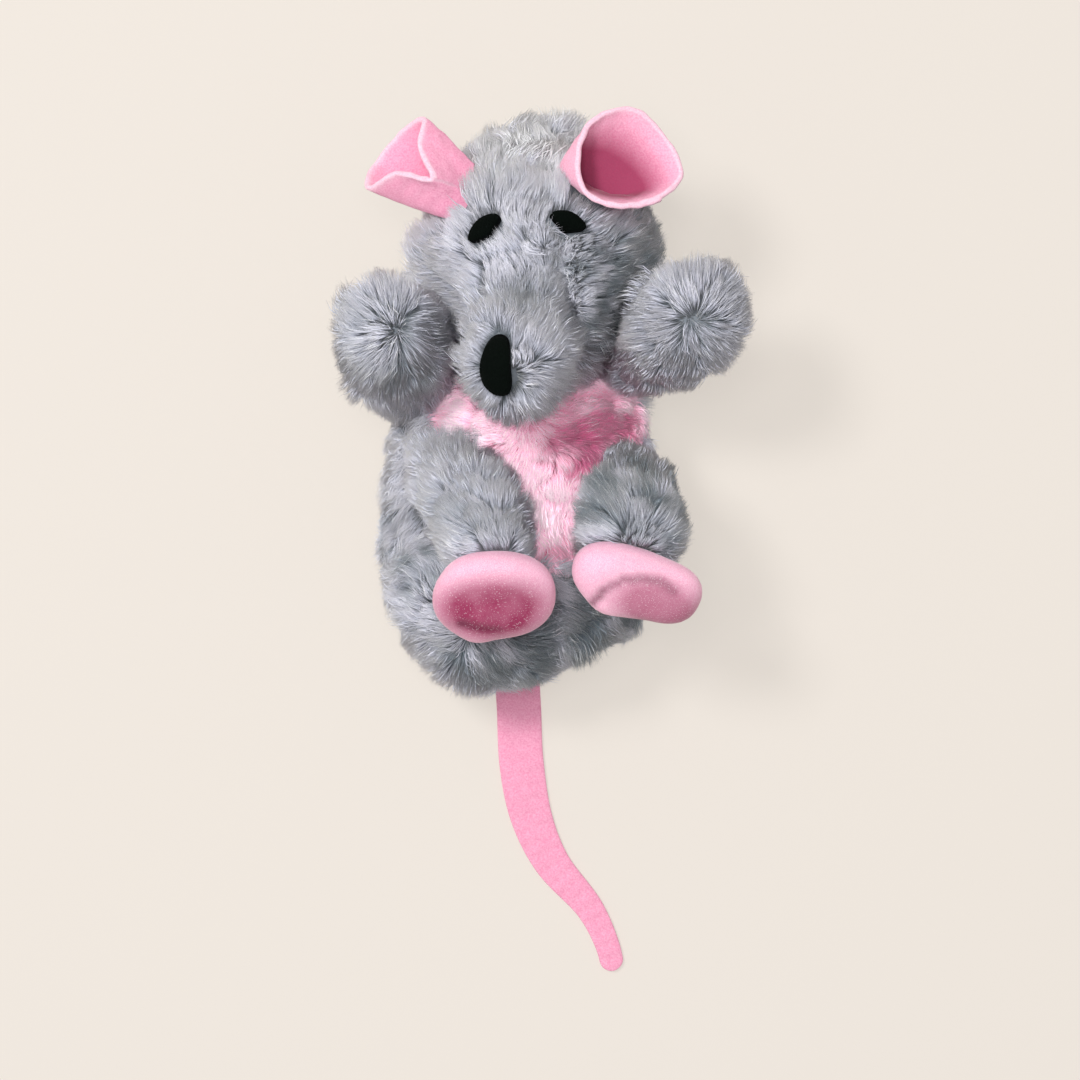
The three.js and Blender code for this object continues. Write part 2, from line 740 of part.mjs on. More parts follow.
// Legs: a thigh sewn to the body along one line, and a velour foot sewn to its end
function addLeg(side, hip, reach, foot) {
  const from = bodyMiddle.clone().add(new THREE.Vector3(...hip));
  const to = from.clone().add(new THREE.Vector3(...reach));
  const half = to.distanceTo(from) / 2;
  const thigh = sewn({
    middle: from.clone().lerp(to, 0.5),
    turn: turnAlong(to.clone().sub(from)),
    half: {
      right: foot.thigh,
      left: foot.thigh,
      far: half,
      near: half,
      top: foot.thigh,
      low: foot.thigh,
    },
    squareness: 2.3,
    taperShare: thighTaperShare,
    columns: 12,
    rings: 8,
  }, pileCloth);
  const tilt = THREE.MathUtils.degToRad(footTilt);
  const soleWay = new THREE.Vector3(0, -Math.sin(tilt), Math.cos(tilt));
  const spin = new THREE.Quaternion().setFromAxisAngle(UP, THREE.MathUtils.degToRad(foot.turn));
  const middle = to.clone().add(new THREE.Vector3(...foot.place));
  const sole = sewn({
    middle,
    turn: spin.multiply(turnAlong(soleWay)),
    half: {
      right: foot.length / 2,
      left: foot.length / 2,
      far: footThickness / 2,
      near: footThickness / 2,
      top: foot.width / 2,
      low: foot.width / 2,
    },
    squareness: 2.3,
    swells: [{ towards: foot.dimpleWay, reach: -soleDimple, spread: 24, sharpness: 2 }],
    columns: 16,
    rings: 8,
  }, velourCloth);
  const seam = onSkin(body.shape, bodyMiddle, from.clone().sub(bodyMiddle));
  const hinge = { at: seam, axis: ACROSS, swing: legSwing };
  const thighMiddle = from.clone().lerp(to, 0.5);
  const ankleHole = bore(thighMiddle, middle, ankleOpening);
  const ankleFilling = bore(thighMiddle, middle, ankleOpening - seamGap);
  const thighSkin = thigh.outside.subtract(thigh.inside).subtract(sole.around).subtract(ankleHole);
  const footSkin = sole.outside.subtract(sole.inside).subtract(ankleHole);
  const filling = thigh.filling.subtract(sole.around).add(sole.filling).add(ankleFilling);
  addPiece(`leg_${side}_skin`, clearOf(thighSkin, body.around, hinge), colours.greyPlush);
  addPiece(`foot_${side}_skin`, clearOf(footSkin, body.around, hinge), colours.velour);
  addPiece(`leg_${side}_stuffing`, clearOf(filling, body.around, hinge), colours.fibrefill);
}

addLeg('left', leftHip, leftThighReach, {
  place: leftFootPlace,
  length: footLength,
  width: footWidth,
  turn: leftFootTurn,
  thigh: leftThighRadius,
  dimpleWay: [-3, -9, 8],
});
addLeg('right', rightHip, rightThighReach, {
  place: rightFootPlace,
  length: rightFootLength,
  width: rightFootWidth,
  turn: rightFootTurn,
  thigh: rightThighRadius,
  dimpleWay: [1, -4, 8],
});

export default mouse;
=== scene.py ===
import json
import math

import bpy
import numpy as np
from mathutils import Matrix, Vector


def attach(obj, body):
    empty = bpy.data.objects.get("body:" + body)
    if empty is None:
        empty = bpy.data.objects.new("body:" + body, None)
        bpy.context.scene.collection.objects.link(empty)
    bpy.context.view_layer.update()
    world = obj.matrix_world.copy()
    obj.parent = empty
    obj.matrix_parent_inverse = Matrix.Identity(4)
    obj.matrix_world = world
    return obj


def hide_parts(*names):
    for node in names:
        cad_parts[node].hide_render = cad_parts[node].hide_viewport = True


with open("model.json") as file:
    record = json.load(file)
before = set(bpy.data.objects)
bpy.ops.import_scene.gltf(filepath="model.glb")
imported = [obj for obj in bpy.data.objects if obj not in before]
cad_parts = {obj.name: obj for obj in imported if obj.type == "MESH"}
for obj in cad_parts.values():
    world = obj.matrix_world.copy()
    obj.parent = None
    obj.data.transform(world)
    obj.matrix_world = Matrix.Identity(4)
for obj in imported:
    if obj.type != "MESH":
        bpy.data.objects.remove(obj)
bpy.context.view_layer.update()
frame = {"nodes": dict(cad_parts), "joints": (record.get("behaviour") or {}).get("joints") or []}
MM = 0.001

# The viewing place: a camera about 0.86 m straight above the toy, with the head at the top of the
# picture. At the height SEEN_HEIGHT above the floor the picture is SEEN_WIDTH wide
VIEW_X = 4.8
VIEW_Y = 1.0
VIEW_HEIGHT = 857.0
SEEN_WIDTH = 248.4
SEEN_HEIGHT = 30.0
FILM_WIDTH = 36.0

camera = bpy.data.cameras.new("overhead")
camera.sensor_width = FILM_WIDTH
camera.lens = FILM_WIDTH * (VIEW_HEIGHT - SEEN_HEIGHT) / SEEN_WIDTH
camera.clip_start = 0.01
camera.clip_end = 20.0
viewer = bpy.data.objects.new("overhead", camera)
viewer.location = (VIEW_X * MM, VIEW_Y * MM, VIEW_HEIGHT * MM)
bpy.context.scene.collection.objects.link(viewer)
bpy.context.scene.camera = viewer
bpy.context.scene.view_settings.view_transform = "Standard"


# The floor: a plain pale sheet, wide enough for any view. The camera sees it mostly as an even glow,
# with a share of the light and of the toy's shadow that fall on it
def colour(red, green, blue):
    """A display colour of 0 to 255 a channel as the linear colour that a shader takes."""
    shares = np.array([red, green, blue]) / 255.0
    linear = np.where(shares <= 0.04045, shares / 12.92, ((shares + 0.055) / 1.055) ** 2.4)
    return (*linear.tolist(), 1.0)


class Wire:
    """One output socket of a finish. Arithmetic on wires and numbers adds Math nodes to its tree."""

    def __init__(self, finish, socket):
        """A wire in the tree of a finish, from an output socket of one of its nodes."""
        self.finish = finish
        self.socket = socket

    def maths(self, operation, *terms):
        """A Math node's result on its terms."""
        return self.finish.node("ShaderNodeMath", {"operation": operation}, dict(enumerate(terms)))

    def __add__(self, other):
        """The sum with a wire or a number."""
        return self.maths("ADD", self, other)

    def __sub__(self, other):
        """The difference from a wire or a number."""
        return self.maths("SUBTRACT", self, other)

    def __rsub__(self, other):
        """A number less the wire."""
        return self.maths("SUBTRACT", other, self)

    def __mul__(self, other):
        """The product with a wire or a number."""
        return self.maths("MULTIPLY", self, other)

    def larger(self, other):
        """The larger of two values."""
        return self.maths("MAXIMUM", self, other)

    def above(self, edge):
        """1 where the value lies above an edge, otherwise 0."""
        return self.maths("GREATER_THAN", self, edge)

    def within(self, low, high):
        """0 at the low value, 1 at the high one and eased between them."""
        settings = {"interpolation_type": "SMOOTHSTEP"}
        inputs = {"Value": self, "From Min": low, "From Max": high}
        return self.finish.node("ShaderNodeMapRange", settings, inputs)

    __radd__ = __add__
    __rmul__ = __mul__


class Finish:
    """A material with one Principled shader, whose plain values are set by name, and a tree of nodes."""

    def __init__(self, name, **plain):
        """A new material of this name, with some plain values of its shader."""
        self.material = bpy.data.materials.new(name)
        self.material.use_nodes = True
        self.tree = self.material.node_tree
        self.shader = self.tree.nodes["Principled BSDF"]
        for socket, value in plain.items():
            self.shader.inputs[socket.replace("_", " ")].default_value = value

    def node(self, kind, settings=None, inputs=None, output=0):
        """A new node with its settings, fed with wires and plain values. Returns one output as a wire."""
        made = self.tree.nodes.new(kind)
        for setting, value in (settings or {}).items():
            setattr(made, setting, value)
        for socket, value in (inputs or {}).items():
            self.join(made.inputs[socket], value)
        return Wire(self, made.outputs[output])

    def join(self, socket, value):
        """Feeds a socket with a wire or a plain value."""
        if isinstance(value, Wire):
            self.tree.links.new(value.socket, socket)
        else:
            socket.default_value = value

    def feed(self, **wires):
        """Feeds sockets of the shader, given by name, with wires or plain values."""
        for socket, value in wires.items():
            self.join(self.shader.inputs[socket.replace("_", " ")], value)

    def mix(self, share, first, second):
        """The first colour where the share is 0 and the second where it is 1."""
        return self.node("ShaderNodeMix", {"data_type": "RGBA"}, {0: share, 6: first, 7: second}, 2)

    def scaled(self, tone, share):
        """A colour times a number."""
        return self.node("ShaderNodeVectorMath", {"operation": "SCALE"}, {0: tone, "Scale": share})

    def attribute(self, name):
        """The number that a mesh holds under this name at each vertex."""
        return self.node("ShaderNodeAttribute", {"attribute_name": name}, output=2)

    def places(self):
        """Object coordinates in millimetres."""
        return self.scaled(self.node("ShaderNodeTexCoord", output=3), 1 / MM)

    def noise(self, size, detail, roughness=0.5):
        """Soft noise whose patches are about this many millimetres across."""
        inputs = {"Vector": self.places(), "Scale": 1 / size, "Detail": detail, "Roughness": roughness}
        return self.node("ShaderNodeTexNoise", {}, inputs)

    def bump(self, height, depth):
        """A relief of a height that runs from 0 to 1, this many millimetres deep."""
        relief = self.node("ShaderNodeBump", {}, {"Strength": 1.0, "Distance": depth * MM, "Height": height})
        self.feed(Normal=relief)


FLOOR_HALF = 2500.0
FLOOR_DROP = 0.05
SHADOW_SHARE = 0.3
FLOOR_TONE = colour(234, 226, 217)

floor_finish = Finish("pale_floor", Roughness=0.9, Base_Color=FLOOR_TONE)
seen = floor_finish.node("ShaderNodeLightPath", output="Is Camera Ray")
glow = floor_finish.node("ShaderNodeEmission", inputs={"Color": FLOOR_TONE, "Strength": 1.0})
veil = floor_finish.node("ShaderNodeMixShader", inputs={0: seen * (1 - SHADOW_SHARE)})
floor_finish.tree.links.new(floor_finish.shader.outputs[0], veil.socket.node.inputs[1])
floor_finish.tree.links.new(glow.socket, veil.socket.node.inputs[2])
floor_finish.tree.links.new(veil.socket, floor_finish.tree.nodes["Material Output"].inputs["Surface"])
floor_mesh = bpy.data.meshes.new("floor")
reach = FLOOR_HALF * MM
floor_mesh.from_pydata(
    [(-reach, -reach, -FLOOR_DROP * MM), (reach, -reach, -FLOOR_DROP * MM),
     (reach, reach, -FLOOR_DROP * MM), (-reach, reach, -FLOOR_DROP * MM)],
    [],
    [(0, 1, 2, 3)],
)
floor_mesh.materials.append(floor_finish.material)
floor = bpy.data.objects.new("floor", floor_mesh)
bpy.context.scene.collection.objects.link(floor)

# The light: a large soft lamp from the upper left of the picture, a second one nearly overhead and an
# even pale sky. Behind the floor's edge the sky looks like the floor
LAMPS = (("side_lamp", (-430.0, 320.0, 1100.0), 240.0, 8.2), ("top_lamp", (-60.0, 60.0, 1250.0), 300.0, 4.6))
SKY_STRENGTH = 0.44
BACKDROP_TONE = colour(242, 234, 225)

for lamp_name, lamp_place, lamp_size, lamp_watts in LAMPS:
    lamp_light = bpy.data.lights.new(lamp_name, "AREA")
    lamp_light.size = lamp_size * MM
    lamp_light.energy = lamp_watts
    lamp = bpy.data.objects.new(lamp_name, lamp_light)
    lamp.location = [v * MM for v in lamp_place]
    lamp.rotation_euler = Vector(lamp_place).to_track_quat("Z", "Y").to_euler()
    bpy.context.scene.collection.objects.link(lamp)
sky = bpy.data.worlds.new("pale_sky")
sky.use_nodes = True
sky.node_tree.nodes["Background"].inputs["Color"].default_value = (1.0, 1.0, 1.0, 1.0)
sky.node_tree.nodes["Background"].inputs["Strength"].default_value = SKY_STRENGTH
backdrop = sky.node_tree.nodes.new("ShaderNodeBackground")
backdrop.inputs["Color"].default_value = BACKDROP_TONE
looked_at = sky.node_tree.nodes.new("ShaderNodeLightPath")
either = sky.node_tree.nodes.new("ShaderNodeMixShader")
sky.node_tree.links.new(looked_at.outputs["Is Camera Ray"], either.inputs[0])
sky.node_tree.links.new(sky.node_tree.nodes["Background"].outputs[0], either.inputs[1])
sky.node_tree.links.new(backdrop.outputs[0], either.inputs[2])
sky.node_tree.links.new(either.outputs[0], sky.node_tree.nodes["World Output"].inputs["Surface"])
bpy.context.scene.world = sky


# The head: a stuffed bag of long grey pile cloth with its snout drawn out and up. Three panels are
# sewn together, a gusset over the forehead and a cheek on each side, and filled with polyester fibre
ACROSS = np.array([1.0, 0.0, 0.0])
UP = np.array([0.0, 0.0, 1.0])
SKIN_STEP = 0.004
CLOTH_SINK = 1.0
FILL_SINK = 3.4


def unit(vectors):
    """Vectors, or one vector, at length 1."""
    vectors = np.asarray(vectors, float)
    return vectors / np.maximum(np.linalg.norm(vectors, axis=-1, keepdims=True), 1e-9)


def turn_along(direction):
    """The turn, as a matrix, that carries +Y to a direction and keeps +X as near as it can."""
    along = unit(direction)
    side = unit(ACROSS - along * (ACROSS @ along))
    return np.stack([side, along, np.cross(side, along)], axis=1)


def spun_by(degrees):
    """The turn about the third axis, as a matrix."""
    cosine, sine = math.cos(math.radians(degrees)), math.sin(math.radians(degrees))
    return np.array([[cosine, -sine, 0], [sine, cosine, 0], [0, 0, 1]])


class Bag:
    """A stuffed bag. Each way from its middle runs out to a rounded block with six half sizes and is let
    out where the bag swells. The bag tapers along its own second axis. half is right, left, far, near,
    top, low, and a swell is a way in the frame, its reach, its spread in degrees and its sharpness."""

    def __init__(self, middle, half, squareness, turn, taper=0.0, swells=()):
        """A bag from the values that the class describes, with turn as its own axes."""
        self.middle = np.array(middle, float)
        self.high = np.array(half[0::2], float)
        self.low = np.array(half[1::2], float)
        self.squareness = squareness
        self.turn = turn
        self.taper = taper
        self.swells = [(unit(np.array(way) @ turn), reach, spread, sharpness)
                       for way, reach, spread, sharpness in swells]

    def reach(self, ways):
        """How far the skin lies along unit ways in the bag's own frame, before the taper."""
        sizes = np.where(ways > 0, self.high, self.low)
        out = (np.abs(ways / sizes) ** self.squareness).sum(-1) ** (-1 / self.squareness)
        for way, reach, spread, sharpness in self.swells:
            angle = np.degrees(np.arccos(np.clip(ways @ way, -1, 1)))
            out = out + reach * np.exp(-((angle / spread) ** sharpness))
        return out

    def skin(self, ways):
        """The skin's places along unit ways."""
        own = ways * self.reach(ways)[..., None]
        sizes = np.where(own[..., 1] > 0, self.high[1], self.low[1])
        width = 1 + self.taper * own[..., 1] / sizes
        own = own * np.stack([width, np.ones_like(width), width], axis=-1)
        return own @ self.turn.T + self.middle

    def outward(self, ways):
        """The skin's outward normals, from two small steps across each way."""
        other = np.where(np.abs(ways[..., :1]) < 0.7, ACROSS, UP)
        first = unit(np.cross(ways, other))
        second = np.cross(ways, first)
        here = self.skin(ways)
        step_one = self.skin(unit(ways + SKIN_STEP * first)) - here
        step_two = self.skin(unit(ways + SKIN_STEP * second)) - here
        normals = unit(np.cross(step_one, step_two))
        facing = np.sign((normals * (here - self.middle)).sum(-1, keepdims=True))
        return normals * facing

    def depth(self, places):
        """How deep places lie inside the bag, negative outside it."""
        own = (places - self.middle) @ self.turn
        sizes = np.where(own[..., 1] > 0, self.high[1], self.low[1])
        width = np.maximum(1 + self.taper * own[..., 1] / sizes, 0.2)
        own = own / np.stack([width, np.ones_like(width), width], axis=-1)
        far = np.linalg.norm(own, axis=-1)
        return self.reach(unit(own)) - far

    def way_to(self, place):
        """The unit way, in the bag's own frame, towards a place."""
        return unit((np.array(place, float) - self.middle) @ self.turn)


def bag_grid(columns, rings):
    """Unit ways on a grid of rings from pole to pole, and its faces as triangles. The poles are one
    vertex each."""
    polar = np.pi * np.arange(1, rings) / rings
    around = 2 * np.pi * np.arange(columns) / columns
    polar, around = np.meshgrid(polar, around, indexing="ij")
    ring_ways = np.stack([np.sin(polar) * np.sin(around), np.cos(polar), np.sin(polar) * np.cos(around)], -1)
    ways = np.concatenate([ring_ways.reshape(-1, 3), [[0, 1, 0], [0, -1, 0]]])
    i, j = np.meshgrid(np.arange(rings - 2), np.arange(columns), indexing="ij")
    a, b = i * columns + j, i * columns + (j + 1) % columns
    c, d = b + columns, a + columns
    sides = np.concatenate([np.stack([a, d, c], -1).reshape(-1, 3), np.stack([a, c, b], -1).reshape(-1, 3)])
    j = np.arange(columns)
    first, last = len(ways) - 2, len(ways) - 1
    near = np.stack([np.full(columns, first), j, (j + 1) % columns], -1)
    base = (rings - 2) * columns
    far = np.stack([np.full(columns, last), base + (j + 1) % columns, base + j], -1)
    return ways, np.concatenate([sides, near, far])


def make_piece(name, places, faces, finish, body, attributes=None, corners=None):
    """A smooth mesh piece from places in millimetres and faces with three or four corners each.
    Attributes hold one number a vertex. corners holds each face corner's place on the piece's own map."""
    mesh = bpy.data.meshes.new(name)
    mesh.vertices.add(len(places))
    mesh.vertices.foreach_set("co", (np.asarray(places) * MM).astype(np.float32).ravel())
    faces = [np.asarray(f, np.int32) for f in (faces if isinstance(faces, list) else [faces])]
    loops = np.concatenate([f.ravel() for f in faces])
    sizes = np.concatenate([np.full(len(f), f.shape[1]) for f in faces])
    mesh.loops.add(len(loops))
    mesh.loops.foreach_set("vertex_index", loops)
    mesh.polygons.add(len(sizes))
    mesh.polygons.foreach_set("loop_start", np.concatenate([[0], np.cumsum(sizes)[:-1]]).astype(np.int32))
    mesh.update(calc_edges=True)
    mesh.polygons.foreach_set("use_smooth", np.ones(len(sizes), bool))
    for key, values in (attributes or {}).items():
        mesh.attributes.new(key, "FLOAT", "POINT").data.foreach_set("value", np.asarray(values, np.float32))
    if corners is not None:
        mesh.uv_layers.new(name="OFBake").data.foreach_set("uv", corners.astype(np.float32).ravel())
    mesh.materials.append(finish.material)
    mesh.validate()
    made = bpy.data.objects.new(name, mesh)
    bpy.context.scene.collection.objects.link(made)
    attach(made, body)
    return made


def cloth_of(bag, name, finish, body, slot, sink=CLOTH_SINK, columns=72, rings=48, inset=None):
    """The backing cloth of a bag: its skin on a grid, sunk below the pile and flat on the floor. inset,
    a function of places, marks the panel of another colour."""
    ways, faces = bag_grid(columns, rings)
    places = bag.skin(ways) - sink * bag.outward(ways)
    marked = {"belly": inset(places).astype(float)} if inset else None
    places[:, 2] = np.maximum(places[:, 2], 0.0)
    made = make_piece(name, places, faces, finish, body, marked)
    return made


def filling_of(bag, name, body, node, columns=72, rings=48):
    """The filling of a bag, in place of a stuffing of the frame. It is a bag of its own, sunk deeper
    than the backing cloth, so that it fits the bag's new shape."""
    filling = cloth_of(bag, name, fibrefill, body, "fibrefill", FILL_SINK, columns, rings)
    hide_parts(node)


SOW_ROUNDS = 24
SOW_TRIES = 120000


def sow(bag, count, chance, keep):
    """Ways to roots spread evenly over a bag. Random ways are kept in proportion to the area of skin
    that each stands for, and then where keep, a function of their places, says so."""
    found = []
    for _ in range(SOW_ROUNDS):
        tries = unit(chance.normal(size=(SOW_TRIES, 3)))
        skin = bag.skin(tries)
        out = skin - bag.middle
        far = np.linalg.norm(out, axis=-1)
        spread = far ** 3 / np.maximum((out * bag.outward(tries)).sum(-1), 0.2 * far)
        taken = (chance.random(len(tries)) * spread.max() < spread) & keep(skin)
        found.append(tries[taken])
        if sum(map(len, found)) >= count:
            break
    return np.concatenate(found)[:count]


def drift(places, size, seed):
    """A smooth random vector at each place, made of three slow waves along each axis."""
    chance = np.random.default_rng(seed)
    waves = chance.normal(size=(3, 3, 3)) * (2 * np.pi / size) / 1.7
    starts = chance.random((3, 3)) * 2 * np.pi
    return np.stack([np.sin(places @ waves[k].T + starts[k]).mean(-1) for k in range(3)], -1) * 1.7


def nearest(places, centres):
    """The index of the centre nearest to each place, worked out a block of places at a time."""
    blocks = np.array_split(places, max(1, len(places) // 2000))
    squares = (centres ** 2).sum(-1)
    return np.concatenate([(squares - 2 * block @ centres.T).argmin(-1) for block in blocks])


CELL_EDGE = 0.06
CELL_SIZE = 0.88


def fibre_mesh(rows, widths, marks, first_cell, cells):
    """Spikes of three sides through rows of places, root first. All rows but the last have three corners
    round the fibre, at that row's width, and the last is its point. Each fibre has a small cell of its
    own on the map, which has a number of cells a side. marks holds rows of one number a fibre. Returns
    places, faces, the numbers at each place and corners."""
    count = len(rows[0])
    line = unit(rows[-1] - rows[0])
    side = unit(np.cross(line, np.roll(line, 1, axis=-1) + 0.3))
    other = np.cross(line, side)
    places = []
    for row, width in zip(rows[:-1], widths):
        for k in range(3):
            turn = 2 * np.pi * k / 3
            spoke = math.cos(turn) * side + math.sin(turn) * other
            places.append(row + np.asarray(width)[..., None] * spoke)
    places.append(rows[-1])
    step = len(places)
    heights = np.linspace(0.1, 1.0, len(rows))
    quads, quad_map, caps, cap_map = [], [], [], []
    for k in range(3):
        left, right, after = k / 3, (k + 1) / 3, (k + 1) % 3
        for i in range(len(rows) - 2):
            quads.append([3 * i + k, 3 * i + after, 3 * i + 3 + after, 3 * i + 3 + k])
            low, high = heights[i], heights[i + 1]
            quad_map.append([(left, low), (right, low), (right, high), (left, high)])
        last = 3 * (len(rows) - 2)
        caps.append([last + k, last + after, last + 3])
        cap_map.append([(left, heights[-2]), (right, heights[-2]), ((left + right) / 2, 1.0)])
    caps.append([0, 2, 1])
    cap_map.append([(0.0, 0.0), (1.0, 0.0), (0.5, 0.1)])
    start = np.arange(count)[:, None, None] * step
    number = first_cell + np.arange(count)
    cell = np.stack([number % cells, number // cells], -1)[:, None, None, :]
    faces, corners = [], []
    for shape, on_map in ((quads, quad_map), (caps, cap_map)):
        if shape:
            faces.append((start + np.array(shape)).reshape(-1, len(shape[0])))
            corners.append(((cell + CELL_EDGE + CELL_SIZE * np.array(on_map)) / cells).reshape(-1, 2))
    along = np.concatenate([np.repeat(np.linspace(0, 1, len(rows))[:-1], 3), [1.0]])
    numbers = np.concatenate([[np.tile(along, count)], np.repeat(marks, step, axis=1)])
    return np.stack(places, 1).reshape(-1, 3), faces, numbers, corners


# The pile of the head and of all grey and pink pile cloth: long silky fibres woven into a backing, grown
# here one by one. Lengths are in millimetres, angles in degrees from upright and the rest are shares. A
# drift is how much something changes from place to place, and its size over how many millimetres
PILE_LENGTH = 6.0
PILE_WIDTH = 0.1
PILE_STRAY = 0.24
PILE_BEND = 17.0
PILE_LEAN = 52.0
LEAN_SCATTER = 6.0
LEAN_LEAST = 5.0
LEAN_MOST = 78.0
LEAN_DRIFT = 6.0
LEAN_DRIFT_SIZE = 11.0
NAP_DRIFT = 0.3
NAP_DRIFT_SIZE = 16.0
# How much the painted shade and painted light of the spots drift, and over how many millimetres
PAINTED_SHADING_DRIFT = 0.6
PAINTED_SHADING_DRIFT_SIZE = 6.0
STANDING_STEEPER = 0.7
STANDING_SHORTER = 0.2
THIN_SHORTER = 0.5
GUARD_EVERY = 10
GUARD_LONGER = 1.1
GUARD_THICKER = 1.25
TUFT_FIBRES = 16
TUFT_PULL = 0.38
TUFT_WANDER = 0.6
LOCK_FIBRES = 260
LOCK_PULL = 0.22
LOCK_TURN = 0.28
LOCK_LEAN = 9.0
LOCK_LENGTH = 0.18
FLOOR_CLEAR = 0.12


def clear_of(rows, points, radius):
    """Which fibres keep all their rows further than a radius from each of some points."""
    clear = np.ones(len(rows[0]), bool)
    low, high = points.min(0) - radius, points.max(0) + radius
    for row in rows:
        near = np.flatnonzero(((row > low) & (row < high)).all(-1))
        if len(near):
            gaps = ((row[near][:, None] - points[None]) ** 2).sum(-1).min(-1)
            clear[near[gaps < radius ** 2]] = False
    return clear


def nearness(places, spots):
    """How near places lie to spots, each a place, a radius and a strength: the sum of their strengths,
    each falling off as a bell over its radius."""
    near = np.zeros(len(places))
    for place, spread, strength in spots:
        near += strength * np.exp(-((places - np.array(place)) ** 2).sum(-1) / spread ** 2)
    return np.clip(near, -1, 1)


def grow(name, bag, count, seed, lay, keep, finish, body, length=PILE_LENGTH, lean=PILE_LEAN,
         pull=TUFT_PULL, standing=(), thin=(), painted_shading=(), avoid=(), bare=None):
    """Pile on a bag. A fibre starts in the backing and leans over towards the lay. Most fibres are fine
    and straight, and one in GUARD_EVERY is longer, thicker and bent at its middle. They gather in
    tufts, each drawn towards the tip of the tuft's own fibre, and tufts in locks, which differ in
    length and in the way they lie. The nap, the lean and the painted shading drift a little from place
    to place. The pile stands up in the standing spots and is short in the thin ones. Its spots of
    painted shading paint shade, darker towards its deep colour, and, where their strength is below 0,
    painted light, paler. avoid holds clouds of points, each with a radius, that no fibre may touch,
    and no fibre may pass where bare, a function of places, says so."""
    chance = np.random.default_rng(seed)
    ways = sow(bag, count, chance, keep)
    normals = bag.outward(ways)
    roots = bag.skin(ways) - CLOTH_SINK * normals
    count = len(roots)
    guard = np.arange(count) % GUARD_EVERY == 0
    locks = chance.choice(count, max(1, count // LOCK_FIBRES), replace=False)
    lock = nearest(roots, roots[locks])
    lock_way = LOCK_TURN * chance.normal(size=(len(locks), 3))
    lock_more = chance.normal(size=(2, len(locks)))
    flow = unit(lay(roots)) + NAP_DRIFT * drift(roots, NAP_DRIFT_SIZE, seed + 1) + lock_way[lock]
    flow = flow + PILE_STRAY * chance.normal(size=(count, 3))
    flow = unit(flow - (flow * normals).sum(-1, keepdims=True) * normals)
    upright, short = nearness(roots, standing), nearness(roots, thin)
    # Painted shade and painted light: spots with a strength above 0 darken the pile, those below 0 make it
    # paler, and their strength drifts a little from place to place
    painted_shading_per_root = nearness(roots, painted_shading)
    painted_shading_per_root = painted_shading_per_root * (1 + PAINTED_SHADING_DRIFT * drift(roots, PAINTED_SHADING_DRIFT_SIZE, seed + 3)[:, 0])
    angle = lean * (1 - STANDING_STEEPER * upright) + LEAN_SCATTER * chance.normal(size=count)
    angle = angle + LOCK_LEAN * lock_more[0][lock]
    angle = angle + LEAN_DRIFT * drift(roots, LEAN_DRIFT_SIZE, seed + 2)[:, 0]
    tilt = np.radians(np.clip(angle, LEAN_LEAST, LEAN_MOST))[:, None]
    long = length * (1 + 0.1 * chance.normal(size=count)) * (1 + LOCK_LENGTH * lock_more[1][lock])
    long = long * (1 - STANDING_SHORTER * upright) * (1 - THIN_SHORTER * short)
    long = (long * np.where(guard, GUARD_LONGER, 1.0))[:, None]
    bend = math.radians(PILE_BEND)
    middles = roots + long / 2 * (np.cos(tilt - bend) * normals + np.sin(tilt - bend) * flow)
    tips = middles + long / 2 * (np.cos(tilt + bend) * normals + np.sin(tilt + bend) * flow)
    tufts = chance.choice(count, max(1, count // TUFT_FIBRES), replace=False)
    mine = tufts[nearest(roots, roots[tufts])]
    wander = TUFT_WANDER * chance.normal(size=(count, 3))
    draw = pull * (0.6 + 0.8 * chance.random(count))[:, None]
    tips = tips + draw * (tips[mine] + wander[mine] - tips)
    tips = tips + LOCK_PULL * (tips[locks][lock] - tips)
    middles = middles + 0.35 * draw * (middles[mine] + 0.4 * wander[mine] - middles)
    middles = middles + 0.3 * LOCK_PULL * (middles[locks][lock] - middles)
    shade = 0.5 * chance.normal(size=count) + 0.4 * chance.normal(size=count)[mine] + 0.4 * lock_more[1][lock]
    thick = PILE_WIDTH * (1 + 0.2 * chance.normal(size=count)) * np.where(guard, GUARD_THICKER, 1.0)
    kept = np.ones(count, bool)
    for points, radius in avoid:
        kept &= clear_of([middles, tips], points, radius)
    if bare:
        kept &= ~bare(tips) & ~bare(middles) & ~bare((tips + middles) / 2) & ~bare((roots + middles) / 2)
    for row in (roots, middles, tips):
        row[:, 2] = np.maximum(row[:, 2], FLOOR_CLEAR + PILE_WIDTH)
    cells = math.ceil(math.sqrt(count))
    bent, plain = kept & guard, kept & ~guard
    marks = np.stack([shade + 0.5 * guard, painted_shading_per_root])
    first = fibre_mesh([roots[bent], middles[bent], tips[bent]], [thick[bent], 0.75 * thick[bent]],
                       marks[:, bent], 0, cells)
    second = fibre_mesh([roots[plain], tips[plain]], [thick[plain]], marks[:, plain], bent.sum(), cells)
    places = np.concatenate([first[0], second[0]])
    faces = first[1] + [group + len(first[0]) for group in second[1]]
    along, shade, painted_shading_per_root = np.concatenate([first[2], second[2]], axis=1)
    attributes = {"along": along, "shade": shade, "painted_shading": painted_shading_per_root}
    corners = np.concatenate(first[3] + second[3])
    return make_piece(name, places, faces, finish, body, attributes, corners)


